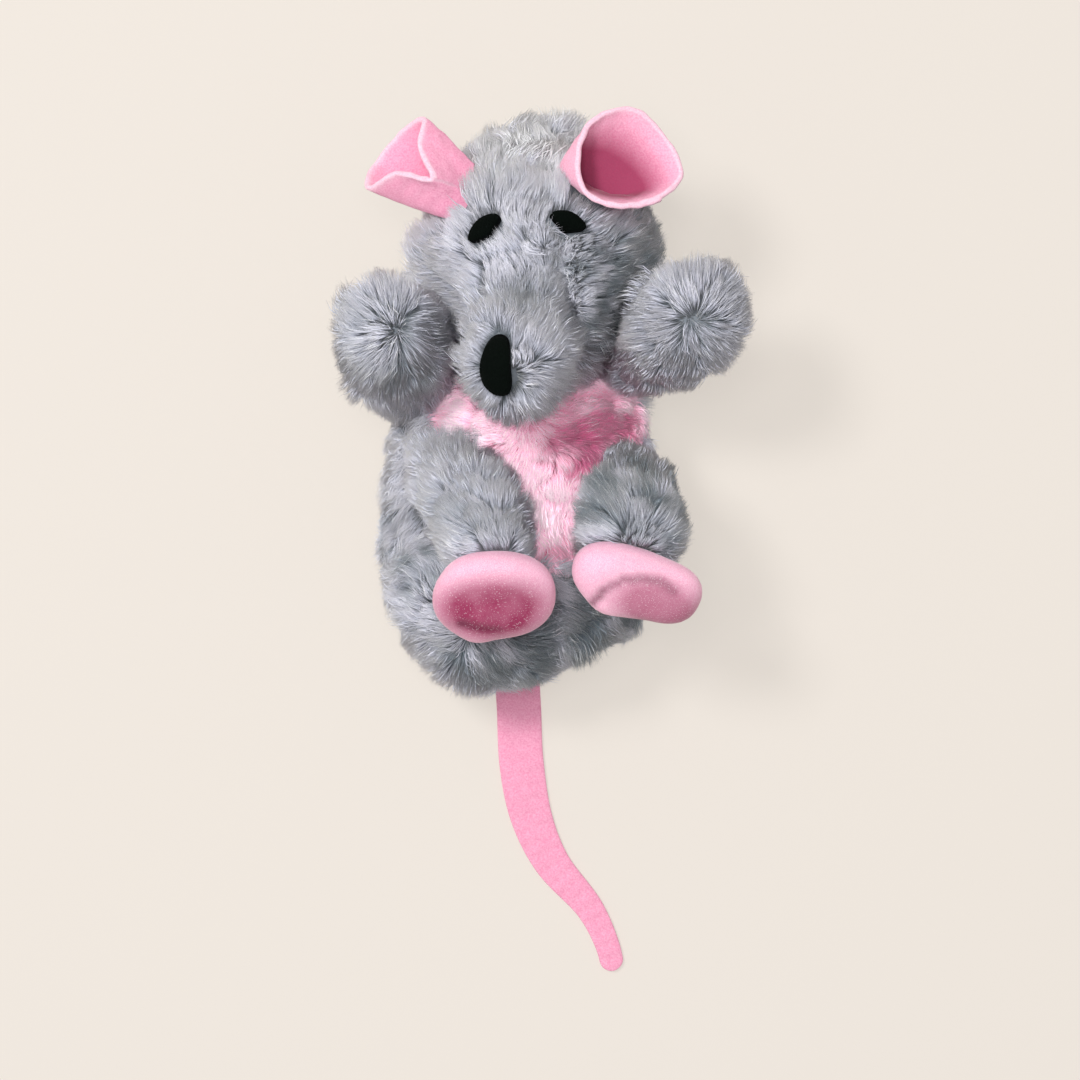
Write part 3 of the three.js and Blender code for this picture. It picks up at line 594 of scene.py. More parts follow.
def pile_finish(name, root, middle, tip, glint, deep, patch=0.44, through=0.0):
    """Silky pile: darker at its roots and pale at its tips, painted shade in the depth of the pile. Some
    fibres are lighter, and the lightest few and specks along the fibres carry painted glints. Where its
    painted shading is above 0 it shows its deep colour, painted shade, and below 0 it is paler, painted
    light. through is the share of a painted glow, an emission that stands in for light coming through
    the fibres."""
    finish = Finish(name, Roughness=0.42, Sheen_Weight=0.4, Sheen_Roughness=0.4, Specular_IOR_Level=0.4)
    along = finish.attribute("along")
    shade = finish.attribute("shade")
    painted_shading = finish.attribute("painted_shading")
    patches = finish.noise(14.0, 3.0)
    # Painted shade: the pile is darker at its roots than at its tips, standing for the shade deep in it.
    lower = finish.mix(along.within(0.0, 0.4), root, middle)
    tone = finish.mix(along.within(0.3, 1.0), lower, tip)
    # Painted shade: where the painted shading mark is above 0 the pile goes towards its deep colour. Painted
    # light: where it is below 0 the pile goes paler, towards the glint colour
    tone = finish.mix(painted_shading.within(0.0, 1.0) * 0.85, tone, deep)
    tone = finish.mix((0.0 - painted_shading).within(0.0, 1.0) * 0.7, tone, glint)
    tone = finish.scaled(tone, shade * 0.12 + patches * patch + (1 - patch / 2))
    # Painted glints: a few of the lightest fibres and small specks along the fibres go towards the glint
    # colour
    painted_glint_fibres = shade.above(1.5) * along.within(0.3, 0.8) * 0.75
    painted_glint_specks = finish.noise(0.3, 1.0).above(0.67) * along.within(0.4, 0.8) * 0.7
    tone = finish.mix(painted_glint_fibres.larger(painted_glint_specks), tone, glint)
    finish.feed(Base_Color=tone)
    # Painted glow: the pile emits a share of its own colour, rising from nothing at its roots towards its
    # tips, in place of light coming through the fibres
    if through:
        painted_glow = finish.scaled(tone, along.within(0.0, 0.6) * through)
        finish.feed(Emission_Color=painted_glow, Emission_Strength=1.0)
    return finish


# The grey pile's root and deep colours are painted shade, and its white glint colour is for painted light and
# painted highlights.
grey_pile = pile_finish(
    "grey_pile", colour(120, 129, 137), colour(204, 206, 219), colour(247, 245, 254), colour(255, 255, 255),
    colour(108, 123, 131),
)
# The backing is coloured darker than the pile: painted shade that shows in the gaps between the fibres
grey_backing = Finish("grey_backing", Roughness=0.95)
backing_weave = grey_backing.noise(0.9, 2.0)
backing_grey = grey_backing.mix(backing_weave, colour(112, 118, 125), colour(140, 146, 154))
backing_pink = grey_backing.mix(backing_weave, colour(236, 130, 172), colour(246, 160, 195))
grey_backing.feed(Base_Color=grey_backing.mix(grey_backing.attribute("belly"), backing_grey, backing_pink))
grey_backing.bump(backing_weave, 0.2)

fibrefill = Finish("fibrefill", Roughness=1.0)
loft = fibrefill.noise(2.0, 5.0)
fibrefill.feed(Base_Color=fibrefill.mix(loft, colour(224, 224, 222), colour(248, 248, 247)))
fibrefill.bump(loft, 0.8)

# The head's shape: a rounded block with the snout drawn out of it and its sides let out. It is seated
# with its lowest skin half a millimetre below the floor, where the cloth lies flat
HEAD_HALF = (25.3, 25.3, 26.0, 32.5, 31.0, 30.0)
SNOUT_WAY = (-5.3, -31.0, 40.0)
GUSSET_HALF = 8.5
head_turn = turn_along(SNOUT_WAY)
head_bag = Bag(
    (0, 0, 0), HEAD_HALF, 2.05, head_turn,
    swells=(
        (SNOUT_WAY, 14.0, 17.0, 4),
        (SNOUT_WAY, 9.0, 26.0, 2),
        ((-0.96, 0.06, 0.25), 2.2, 24.0, 2),
        ((0.96, 0.0, 0.25), 2.2, 24.0, 2),
    ),
)
seat_ways, _ = bag_grid(90, 60)
head_bag.middle = np.array([3.7, 64.0, -0.5 - head_bag.skin(seat_ways)[:, 2].min()])

# Places down the valley at the right of the snout's ridge, and the forms of the face: the valley, the
# ridge itself, a dimple above it and the hollow under the left ear, each with its reach and spread
VALLEY = (
    (10.1, 68.0, 60.0), (10.4, 64.0, 61.0), (10.7, 60.0, 61.0), (11.0, 56.0, 61.0), (11.6, 52.0, 60.0),
    (12.4, 48.0, 59.0), (13.4, 44.0, 58.0),
)
VALLEY_DEPTHS = (3.4, 3.4, 3.4, 3.4, 3.4, 3.4, 3.0)
FACE_FORMS = (
    *[(place, -depth, 4.0) for place, depth in zip(VALLEY, VALLEY_DEPTHS)],
    ((6.2, 66.0, 62.0), 2.2, 4.5), ((6.4, 60.0, 64.0), 2.2, 4.5), ((6.8, 54.0, 65.0), 2.2, 4.5),
    ((6.6, 84.0, 55.0), -2.4, 5.0), ((-17.0, 84.0, 38.0), -3.6, 13.0),
)
for place, reach_in, spread in FACE_FORMS:
    head_bag.swells.append((head_bag.way_to(place), reach_in, spread, 2))

# The other stuffed bags have to be known here too, so that no pile grows into them. The body is let
# out at its shoulders, the arms are tapered and end in round paws, and the thighs run into the feet
body_bag = Bag(
    (0.0, 0.0, 25.0), (27.5, 30.0, 37.0, 29.5, 23.0, 25.5), 2.4, np.eye(3),
    swells=(
        ((-0.4, -0.91, 0.0), 3.3, 26.0, 2),
        ((0.55, -0.83, 0.0), -2.6, 16.0, 2),
        ((0.82, -0.57, 0.0), 2.6, 20.0, 2),
        ((0.6, 0.8, 0.05), 8.0, 18.0, 2),
        ((-0.52, 0.85, 0.05), 6.0, 20.0, 2),
    ),
)
hinges = {joint["name"]: np.array(joint["pos_m"]) / MM for joint in frame["joints"]}


def limb_bag(start, reach, radius, squareness, taper=0.0):
    """A straight limb from a point over a reach, with one radius each way."""
    reach = np.array(reach, float)
    half = np.linalg.norm(reach) / 2
    sizes = (radius, radius, half, half, radius, radius)
    return Bag(np.array(start) + reach / 2, sizes, squareness, turn_along(reach), taper)


arm_bags = {
    "left": limb_bag(hinges["shoulder_left"], (-6.6, 19.5, 47.0), 9.3, 2.5, 0.36),
    "right": limb_bag(hinges["shoulder_right"] + (-1.5, 4.5, 2.6), (19.3, 17.6, 43.7), 9.6, 2.5, 0.45),
}
LEFT_HIP = np.array([-13.5, 17.0, 37.0])
RIGHT_HIP = np.array([23.5, 16.5, 36.0])
LEFT_THIGH = np.array([11.0, -23.0, 24.0])
RIGHT_THIGH = np.array([2.0, -20.5, 24.0])
LEFT_LAP = np.array([-6.5, 9.0, -7.0])
RIGHT_LAP = np.array([1.5, 3.0, -2.0])
thigh_bags = {
    "left": limb_bag(LEFT_HIP + LEFT_LAP, LEFT_THIGH - LEFT_LAP, 9.2, 2.3, 0.1),
    "right": limb_bag(RIGHT_HIP + RIGHT_LAP, RIGHT_THIGH - RIGHT_LAP, 10.0, 2.3, 0.2),
}

# The eyes and the nose: pads of black craft felt, cut out and sewn down on the pile. The eyes are
# pointed ovals, and the nose is an oval with one side cut nearly straight
FELT_LIFT = 2.2
FELT_THICK = 1.3
FELT_ROUGH = 0.07


def felt_facing(way, roll):
    """The turn of a felt oval that faces along a way, rolled in its own plane by degrees."""
    flat = np.array([[1, 0, 0], [0, 0, 1], [0, -1, 0]], float)
    return turn_along(way) @ flat @ spun_by(roll)


def oval_outline(angle):
    """A pointed oval, with powers of 1.6 in place of squares: how far its edge lies from its middle, as
    a share of a plain oval."""
    return (np.abs(np.cos(angle)) ** 1.6 + np.abs(np.sin(angle)) ** 1.6) ** (-1 / 1.6)


def nose_outline(angle):
    """An oval with one side cut straight by a smooth limit, fuller towards its lower end and drawn in a
    little at its middle."""
    limit = 0.54 + 0.44 * np.exp(-((np.degrees(angle) + 132) / 26) ** 2)
    cut = np.maximum(-np.sin(angle), 0) / limit
    return (1 + cut ** 6) ** (-1 / 6) * (1 - 0.2 * np.exp(-((np.degrees(angle) + 78) / 22) ** 2))


FELTS = (
    ("eye_left", felt_facing((-10.7, 5.9, 25.5), 32.0), 8.8, 4.2, oval_outline),
    ("eye_right", felt_facing((6.8, 7.1, 26.0), -16.0), 8.4, 3.7, oval_outline),
    ("nose", felt_facing((-8.0, -27.0, 43.0), 97.0), 10.8, 9.2, nose_outline),
)


def skin_height(bag, facing, across, along):
    """How far from a bag's middle its skin lies on straight lines along a facing's third axis, by
    halving the span between inside and outside."""
    low = np.full(across.shape, 8.0)
    high = np.full(across.shape, 75.0)
    for _ in range(24):
        height = (low + high) / 2
        places = np.stack([across, along, height], -1) @ facing.T + bag.middle
        outside = bag.depth(places) < 0
        high = np.where(outside, height, high)
        low = np.where(outside, low, height)
    return (low + high) / 2


def felt_pad(felt, finish, columns=96, rings=18):
    """A pad of felt that lies on the pile: a disc of rings in its outline, domed by a fifth power of
    the ring's share so that its edge is round, over a flat back."""
    name, facing, long, wide, outline = felt
    angle = 2 * np.pi * np.arange(columns) / columns
    share = np.sin(np.linspace(0, np.pi / 2, rings + 1)[1:])
    share, angle = np.meshgrid(share, angle, indexing="ij")
    across = share * outline(angle) * long / 2 * np.cos(angle)
    along = share * outline(angle) * wide / 2 * np.sin(angle)
    skin = skin_height(head_bag, facing, across, along)
    rough = FELT_ROUGH * np.sin(5.1 * across + 1.3) * np.sin(4.7 * along)
    top = skin + FELT_LIFT + FELT_THICK * (1 - 0.55 * share ** 5) + rough
    back = skin + FELT_LIFT * (1 - 0.7 * share ** 3)
    centre = skin_height(head_bag, facing, np.zeros(1), np.zeros(1))[0] + FELT_LIFT
    rows = [np.stack([across, along, height], -1).reshape(-1, 3) for height in (top, back)]
    places = np.concatenate(rows + [np.array([[0, 0, centre + FELT_THICK], [0, 0, centre]])])
    places = places @ facing.T + head_bag.middle
    i, j = np.meshgrid(np.arange(rings - 1), np.arange(columns), indexing="ij")
    a, b = i * columns + j, i * columns + (j + 1) % columns
    front = np.stack([a, a + columns, b + columns, b], -1).reshape(-1, 4)
    total = rings * columns
    j = np.arange(columns)
    k = (j + 1) % columns
    edge = (rings - 1) * columns
    rim = np.stack([edge + j, edge + total + j, edge + total + k, edge + k], -1)
    hub = np.stack([np.full(columns, 2 * total), j, k], -1)
    back_hub = np.stack([np.full(columns, 2 * total + 1), total + k, total + j], -1)
    faces = [np.concatenate([front, front[:, ::-1] + total, rim]), np.concatenate([hub, back_hub])]
    made = make_piece(name + "_felt", places, faces, finish, "head")
    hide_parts(name)


black_felt = Finish("black_felt", Roughness=0.95, Specular_IOR_Level=0.06)
felt_fluff = black_felt.noise(0.5, 4.0)
black_felt.feed(Base_Color=black_felt.mix(felt_fluff, colour(1, 4, 2), colour(8, 14, 11)))
black_felt.bump(felt_fluff, 0.25)
for felt in FELTS:
    felt_pad(felt, black_felt)


# The ears: each is one piece of pink felt, wrapped into a cup and folded flat where it is sewn into
# the seams of the head. The left one lies sideways and the right one opens towards the viewer
EAR_SINK = 0.7
EAR_ROOT = 13.0
EAR_ROOT_THICK = 1.8
EAR_FLARE = 1.35
OVERLAP_STEP = 0.6
OVERLAP_FADE = 0.06


def curve_at(points, shares, closed):
    """Places on a centripetal Catmull-Rom curve through points, at shares of its spans."""
    points = np.asarray(points, float)
    count = len(points)
    spans = count if closed else count - 1
    at = np.asarray(shares) * spans
    first = np.floor(at).astype(int)
    if not closed:
        first = np.clip(first, 0, spans - 1)
        padded = np.concatenate([[2 * points[0] - points[1]], points, [2 * points[-1] - points[-2]]])
        four = [padded[first + k] for k in range(4)]
    else:
        four = [points[(first + k - 1) % count] for k in range(4)]
    part = (at - first)[..., None]
    a, b, c, d = four
    ab, bc, cd = [((four[k + 1] - four[k]) ** 2).sum(-1, keepdims=True) ** 0.25 for k in range(3)]
    one = (b - a) / ab - (c - a) / (ab + bc) + (c - b) / bc
    two = (c - b) / bc - (d - b) / (bc + cd) + (d - c) / cd
    one, two = one * bc, two * bc
    cubic = 2 * b - 2 * c + one + two
    square = -3 * b + 3 * c - 2 * one - two
    return ((cubic * part + square) * part + one) * part + b


class Ear:
    """An ear's wall as a surface of two shares: u round it and v from its root to its rim."""

    def __init__(self, root, way, line, rim, bowl):
        """An ear sewn on at a root, which it leaves along a way. line is the way of its flat root, rim
        holds the points of its rim from there, and bowl is how far the wall bows out."""
        self.middle = np.array(root) - EAR_SINK * unit(way)
        self.line = unit(line)
        self.rim = np.array(rim) + self.middle
        self.bowl = bowl
        self.mouth = curve_at(self.rim, [0.0, 0.5], True).mean(0)

    def wall(self, u, v):
        """A flat loop at the root that opens into the rim by a power of v, bowed outwards between."""
        angle = (2 * np.pi * u)[..., None]
        v = v[..., None]
        foot = self.line * (EAR_ROOT / 2) * np.cos(angle) - UP * (EAR_ROOT_THICK / 2) * np.sin(angle)
        edge = curve_at(self.rim, u % 1, True) - self.mouth
        bowed = unit(edge) * self.bowl * np.sin(np.pi * v)
        centre = self.middle + (self.mouth - self.middle) * v
        return centre + foot + (edge - foot) * v ** EAR_FLARE + bowed

    def normal(self, u, v):
        """The wall's normals, from a small step round it and one up it."""
        step = 0.01
        around = self.wall(u + step, v) - self.wall(u - step, v)
        upwards = self.wall(u, np.minimum(v + step, 1)) - self.wall(u, np.maximum(v - step, 0))
        return unit(np.cross(around, upwards))

    def cloud(self, start):
        """Points on the inner side of the wall and in the hollow, from a share v up."""
        u, v = np.meshgrid(np.linspace(0, 1, 49)[:-1], np.linspace(start, 1, 12), indexing="ij")
        wall = self.wall(u, v)
        centre = self.middle + (self.mouth - self.middle) * v[..., None]
        shells = [centre + (wall - centre) * share for share in (0.25, 0.55, 0.85)]
        return np.concatenate(shells).reshape(-1, 3)


def ear_piece(ear, name, finish, hollow, overlap, columns=192, rings=40, lip=6):
    """The wall as one closed loop of sections: up one side, over a round lip and down the other, at half
    the felt's thickness each way from the middle surface. Its cut edge and the edge of the overlap are
    pale, partly fluffy felt and partly a painted highlight, and by the share hollow the upper walls and
    the outer side are painted light, paler, and the inner side is painted shade, darker towards the
    root. Where the felt overlaps itself, at a share u, the outer side has a step that dies away towards
    the root."""
    u = np.arange(columns) / columns
    v = np.concatenate([np.linspace(0, 1, rings), np.full(lip, 1.0), np.linspace(1, 0, rings)])
    turn = np.concatenate([np.zeros(rings), np.pi * np.arange(1, lip + 1) / (lip + 1), np.full(rings, np.pi)])
    u, v = np.meshgrid(u, v, indexing="ij")
    normal = ear.normal(u, v)
    above = unit(ear.wall(u, np.ones_like(v)) - ear.wall(u, np.full_like(v, 0.97)))
    centre = ear.middle + (ear.mouth - ear.middle) * v[..., None]
    away = np.sign((normal * (ear.wall(u, v) - centre)).sum())
    inner = np.cos(turn)[None] * away < 0
    past = (u - overlap + 0.5) % 1 - 0.5
    outer = ~inner * np.clip((v - 0.3) / 0.3, 0, 1)
    half = FELT_THICK / 2 + OVERLAP_STEP * outer * (past > 0) * np.exp(-past / OVERLAP_FADE)
    sides = np.cos(turn)[None, :, None] * normal + np.sin(turn)[None, :, None] * above
    places = ear.wall(u, v) + half[..., None] * sides
    places = places + 0.08 * drift(places, 3.5, 5)
    # Painted light: the edge mark makes the cut edges and the overlap's edge pale, partly fluffy felt and
    # partly painted highlight, and with hollow also the upper walls and the outer side. Painted shade: the
    # inside mark darkens the inner side towards the root
    marks = {
        "edge": np.max([
            np.exp(-(1 - v) / 0.03), 0.8 * outer * np.exp(-(past / 0.007) ** 2),
            0.45 * hollow * np.clip((v - 0.6) / 0.4, 0, 1) ** 2, 0.4 * hollow * outer,
        ], axis=0).ravel(),
        "inside": (hollow * inner * np.clip((0.86 - v) / 0.4, 0, 1)).ravel(),
    }
    count = len(turn)
    i, j = np.meshgrid(np.arange(columns), np.arange(count), indexing="ij")
    k = (i + 1) % columns
    l = (j + 1) % count
    faces = np.stack([i * count + j, k * count + j, k * count + l, i * count + l], -1).reshape(-1, 4)
    made = make_piece(name + "_cup", places.reshape(-1, 3), faces, finish, name, marks)
    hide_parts(name)


left_ear = Ear(
    hinges["ear_root_left"] + (3.6, -0.5, 3.0), (-17.1, 14.6, 14.0), (0, 1, 0),
    np.array([
        (-0.39, 1.0, 0.4), (-0.65, 0.84, -0.1), (-0.91, 0.46, -0.2), (-1.0, 0.26, 0.1),
        (-0.97, 0.1, 0.5), (-0.66, 0.26, 1.0), (-0.29, 0.19, 1.0), (-0.42, 0.6, 0.8),
    ]) * (20.6, 17.2, 10.0) - (3.0, 0.3, 3.0),
    0.8,
)
right_ear = Ear(
    hinges["ear_root_right"], (10.9, 16.2, 20.5), (-0.87, 0.49, 0),
    np.array([
        (-0.09, 0.35, 0.9), (0.07, 0.84, 0.7), (0.5, 1.0, 0.4), (0.83, 0.64, 0.3),
        (1.0, 0.14, 0.5), (0.75, -0.18, 0.8), (0.31, -0.29, 1.0), (-0.01, -0.11, 1.0),
    ]) * (21.0, 16.9, 10.0) + (0.5, -0.3, 0.0),
    1.3,
)
pink_felt = Finish(
    "pink_felt", Roughness=0.95, Sheen_Weight=0.15, Sheen_Roughness=0.5, Specular_IOR_Level=0.2,
)
felt_wool = pink_felt.noise(0.4, 4.0, roughness=0.6)
felt_cloud = pink_felt.noise(5.0, 2.0)
felt_tone = pink_felt.mix(felt_wool.within(0.3, 0.7), colour(234, 146, 178), colour(248, 176, 202))
felt_tone = pink_felt.scaled(felt_tone, felt_cloud * 0.12 + 0.94)
# Painted shade: the inside of the cup goes dark towards its root
felt_tone = pink_felt.mix(pink_felt.attribute("inside") * 0.95, felt_tone, colour(152, 54, 88))
# Painted light: the edges are paler, partly for fluffy felt, and on the right ear also its upper walls and
# outer side
felt_fuzz_and_painted_light = pink_felt.attribute("edge") * (felt_wool * 0.9 + 0.15)
pink_felt.feed(Base_Color=pink_felt.mix(felt_fuzz_and_painted_light, felt_tone, colour(255, 222, 234)))
pink_felt.bump(felt_wool, 0.1)
ear_piece(left_ear, "ear_left", pink_felt, 0.2, 0.75)
ear_piece(right_ear, "ear_right", pink_felt, 1.0, 0.62)

# The pile of the head's three panels, over their backing cloth and the head's filling. It lies away from
# the seam at the end of the snout, and none of it grows through the ears or over the eyes and the nose
HEAD_FIBRES = 42000
LOWEST_ROOT = 1.2
SNOUT_SEAM = np.array([-0.2, 37.9, 73.0])


def inside_any(places, bags, deep=0.6):
    """Whether places lie deeper than a depth in one of some bags."""
    return np.any([bag.depth(places) > deep for bag in bags], axis=0)


def head_lay(places):
    """Away from the seam at the end of the snout."""
    return places - SNOUT_SEAM


def under_felts(places, clear=-0.25):
    """Whether places lie over or under an eye or the nose, inside its outline let out by a clearance."""
    found = np.zeros(len(places), bool)
    for _, facing, long, wide, outline in FELTS:
        own = (places - head_bag.middle) @ facing
        across, along = own[:, 0] / (long / 2 + clear), own[:, 1] / (wide / 2 + clear)
        edge = outline(np.arctan2(along, across))
        found |= (np.hypot(across, along) < edge) & (own[:, 2] > 0)
    return found


def on_head(places):
    """Head roots that show: off the floor, outside the body and not under the felts."""
    return (places[:, 2] > LOWEST_ROOT) & (body_bag.depth(places) < 1.0) & ~under_felts(places)


def head_side(places):
    """How far places lie to the right of the head's own middle plane."""
    return (places - head_bag.middle) @ head_turn[:, 0]


cloth_of(head_bag, "head_cloth", grey_backing, "head", "grey_plush")
filling_of(head_bag, "head_fill", "head", "head_stuffing")
FACE_THIN = [(place, 3.0, 0.5) for place in VALLEY] + [
    (left_ear.middle + (-4.0, 6.0, 4.0), 7.0, 0.7), (right_ear.middle, 5.0, 0.4),
]
# Painted shade down the valley, on the right side of the face and above the nose, and painted light on the
# forehead, where the strength is below 0
FACE_PAINTED_LIGHT_AND_SHADE = [(place, 3.2, 0.8) for place in VALLEY] + [
    ((21.0, 62.0, 54.0), 9.0, 0.6), ((31.0, 66.0, 38.0), 14.0, 1.0), ((0.0, 55.0, 67.0), 6.5, 0.85),
    ((18.0, 48.0, 50.0), 9.0, 0.5), ((6.6, 84.0, 55.0), 3.0, 0.4), ((0.0, 88.0, 47.0), 17.0, -0.9),
    ((-16.0, 66.0, 52.0), 8.0, 0.1),
]
EAR_CLOUDS = ((left_ear.cloud(0.36), 1.0), (right_ear.cloud(0.16), 1.3))
FACE_STANDING = (((17.0, 62.0, 55.0), 9.0, 0.9), ((9.0, 40.0, 66.0), 5.0, 0.8))
for panel, first, last, seed in (
    ("head_gusset", -GUSSET_HALF, GUSSET_HALF, 11),
    ("head_cheek_left", -60.0, -GUSSET_HALF, 12),
    ("head_cheek_right", GUSSET_HALF, 60.0, 13),
):
    pile = grow(
        panel + "_pile", head_bag, HEAD_FIBRES, seed, head_lay,
        lambda p: on_head(p) & (head_side(p) >= first) & (head_side(p) < last),
        grey_pile, "head", standing=FACE_STANDING, thin=FACE_THIN, painted_shading=FACE_PAINTED_LIGHT_AND_SHADE,
        avoid=EAR_CLOUDS, bare=lambda p: under_felts(p, 0.6) | inside_any(p, arm_bags.values()),
    )
    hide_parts(panel)

# The arms: tapered bags of the same pile cloth, sewn to the shoulders. Each ends in a round paw that a
# stitch draws in, and the pile lies away from that stitch
PAW_STITCH = {"left": np.array([-25.3, 45.4, 70.0]), "right": np.array([38.4, 49.3, 68.0])}
# Painted shade on parts of the paws
PAW_PAINTED_SHADE = (
    ((-24.0, 36.0, 60.0), 9.0, 0.3), ((-31.0, 48.0, 62.0), 11.0, 0.3), ((37.0, 42.0, 66.0), 6.0, 0.4),
)
ARM_THIN = (((36.0, 33.0, 42.0), 14.0, 1.0),)
ARM_FIBRES = 34000
LIMB_CLOTH = (48, 32)
LIMB_FILLING = (40, 28)
for side, seed in (("left", 21), ("right", 22)):
    arm = arm_bags[side]
    arm.swells.append((arm.way_to(PAW_STITCH[side]), -2.5, 22.0, 2))
    cloth_of(arm, f"arm_{side}_cloth", grey_backing, f"arm_{side}", "grey_plush", CLOTH_SINK, *LIMB_CLOTH)
    filling_of(arm, f"arm_{side}_fill", f"arm_{side}", f"arm_{side}_stuffing", *LIMB_FILLING)
    pile = grow(
        f"arm_{side}_pile", arm, ARM_FIBRES, seed,
        lambda p: p - PAW_STITCH[side],
        lambda p: (body_bag.depth(p) < 1.5) & (head_bag.depth(p) < 2.0),
        grey_pile, f"arm_{side}", thin=ARM_THIN, painted_shading=PAW_PAINTED_SHADE,
        bare=lambda p: inside_any(p, (head_bag,)),
    )
    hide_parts(f"arm_{side}_skin")

# The feet: stuffed pads of short-napped pink velour, sewn to the ends of the thighs. Stitches draw the
# sole in, so that a plump rim stands round it, and leave folds where the cloth gathers
FOOT_TILT = 16.0
FOOT_THICK = 13.4
SOLE_HEIGHT = 5.5


def foot_bag(ankle, place, long, wide, turn, drawn):
    """A pad that faces up and back by the feet's tilt and is turned about the upright axis. drawn holds
    stitches and swellings: how far right and up the foot, its height, reach, spread and sharpness."""
    tilt = math.radians(FOOT_TILT)
    facing = spun_by(turn) @ turn_along((0, -math.sin(tilt), math.cos(tilt)))
    half = (long / 2, long / 2, FOOT_THICK / 2, FOOT_THICK / 2, wide / 2, wide / 2)
    bag = Bag(np.array(ankle) + np.array(place), half, 2.3, facing)
    for across, up, height, reach, spread, sharpness in drawn:
        bag.swells.append((unit(np.array([across, height, -up])), reach, spread, sharpness))
    return bag


def fold_line(points, count, fade):
    """Evenly shared places on a smooth line through the points of a fold, each with its strength, which
    goes from 1 at the first to fade at the last."""
    flat = [(across, up, 0.0) for across, up in points]
    line = curve_at(flat, np.linspace(0, 0.999, count), False)
    line = line + 0.2 * drift(line, 3.4, 9)
    return np.column_stack([line[:, :2], np.linspace(1.0, fade, count)])


LEFT_FOLD = fold_line([(-7.6, -4.9), (-5.4, -5.8), (-2.4, -6.3), (0.8, -6.2)], 12, 0.7)
RIGHT_FOLD = fold_line([
    (-7.6, -6.4), (-6.6, -3.4), (-4.8, -0.4), (-2.0, 2.0), (2.0, 3.4), (5.4, 3.6), (8.4, 2.8),
], 28, 0.6)
foot_bags = {
    "left": foot_bag(LEFT_HIP + LEFT_THIGH, (-3.0, -5.3, 1.0), 27.6, 19.8, 2.0, [
        (-5.0, 0.0, SOLE_HEIGHT, -0.8, 26.0, 4), (0.5, 0.0, SOLE_HEIGHT, -0.8, 26.0, 4),
        (6.0, 0.0, SOLE_HEIGHT, -0.8, 26.0, 4), (-4.6, -10.7, 0.0, 1.3, 20.0, 2),
        (-12.0, 5.0, 0.0, -0.8, 20.0, 2),
        *[(across, up, 4.8, -0.5 * strength, 8.5, 2) for across, up, strength in LEFT_FOLD],
    ]),
    "right": foot_bag(RIGHT_HIP + RIGHT_THIGH, (0.5, -4.6, 1.0), 29.2, 15.6, -20.0, [
        (-6.0, -9.6, 0.0, 1.6, 24.0, 2), (4.6, -6.7, 0.0, -1.5, 20.0, 2), (12.0, 6.0, 0.0, 1.3, 20.0, 2),
        (-9.0, 4.0, 5.0, 0.9, 26.0, 2), (5.0, -2.0, SOLE_HEIGHT, -0.5, 26.0, 2),
        *[(across, up, 4.8, -0.42 * strength, 7.5, 2) for across, up, strength in RIGHT_FOLD],
    ]),
}
VOXEL = 0.9
PLUMP_SCALE = 0.01
PLUMP_PRESSURE = 4.0
PLUMP_STEPS = 20


def plumped(places, faces, held, cap=0.9):
    """A pad's mesh made even by a remesh, then blown up by a cloth simulation in which the places that
    held marks stay, run with a millimetre drawn as a centimetre. No point moves further than cap.
    Returns places and faces of four corners."""
    shell = bpy.data.meshes.new("plump")
    shell.from_pydata(places * PLUMP_SCALE, [], faces)
    pad = bpy.data.objects.new("plump", shell)
    bpy.context.scene.collection.objects.link(pad)
    even = pad.modifiers.new("even", "REMESH")
    even.mode = "VOXEL"
    even.voxel_size = VOXEL * PLUMP_SCALE
    shell = bpy.data.meshes.new_from_object(pad.evaluated_get(bpy.context.evaluated_depsgraph_get()))
    pad.modifiers.clear()
    pad.data = shell
    start = np.empty(len(shell.vertices) * 3, np.float32)
    shell.vertices.foreach_get("co", start)
    start = start.reshape(-1, 3)
    corners = np.empty(len(shell.loops), np.int32)
    shell.loops.foreach_get("vertex_index", corners)
    ended = start
    stitches = pad.vertex_groups.new(name="stitches")
    stitches.add(np.flatnonzero(held(start / PLUMP_SCALE)).tolist(), 1.0, "REPLACE")
    cloth = pad.modifiers.new("velour", "CLOTH")
    cloth.settings.use_pressure = True
    cloth.settings.uniform_pressure_force = PLUMP_PRESSURE
    cloth.settings.effector_weights.gravity = 0
    cloth.settings.vertex_group_mass = "stitches"
    cloth.point_cache.frame_start, cloth.point_cache.frame_end = 1, PLUMP_STEPS
    for step in range(1, PLUMP_STEPS + 1):
        bpy.context.scene.frame_set(step)
    blown = pad.evaluated_get(bpy.context.evaluated_depsgraph_get()).to_mesh()
    ended = np.empty(len(start) * 3, np.float32)
    blown.vertices.foreach_get("co", ended)
    ended = ended.reshape(-1, 3)
    bpy.context.scene.frame_set(1)
    bpy.data.objects.remove(pad)
    moved = (ended - start) / PLUMP_SCALE
    far = np.linalg.norm(moved, axis=-1, keepdims=True)
    return start / PLUMP_SCALE + moved * np.minimum(1, cap / np.maximum(far, 1e-9)), corners.reshape(-1, 4)


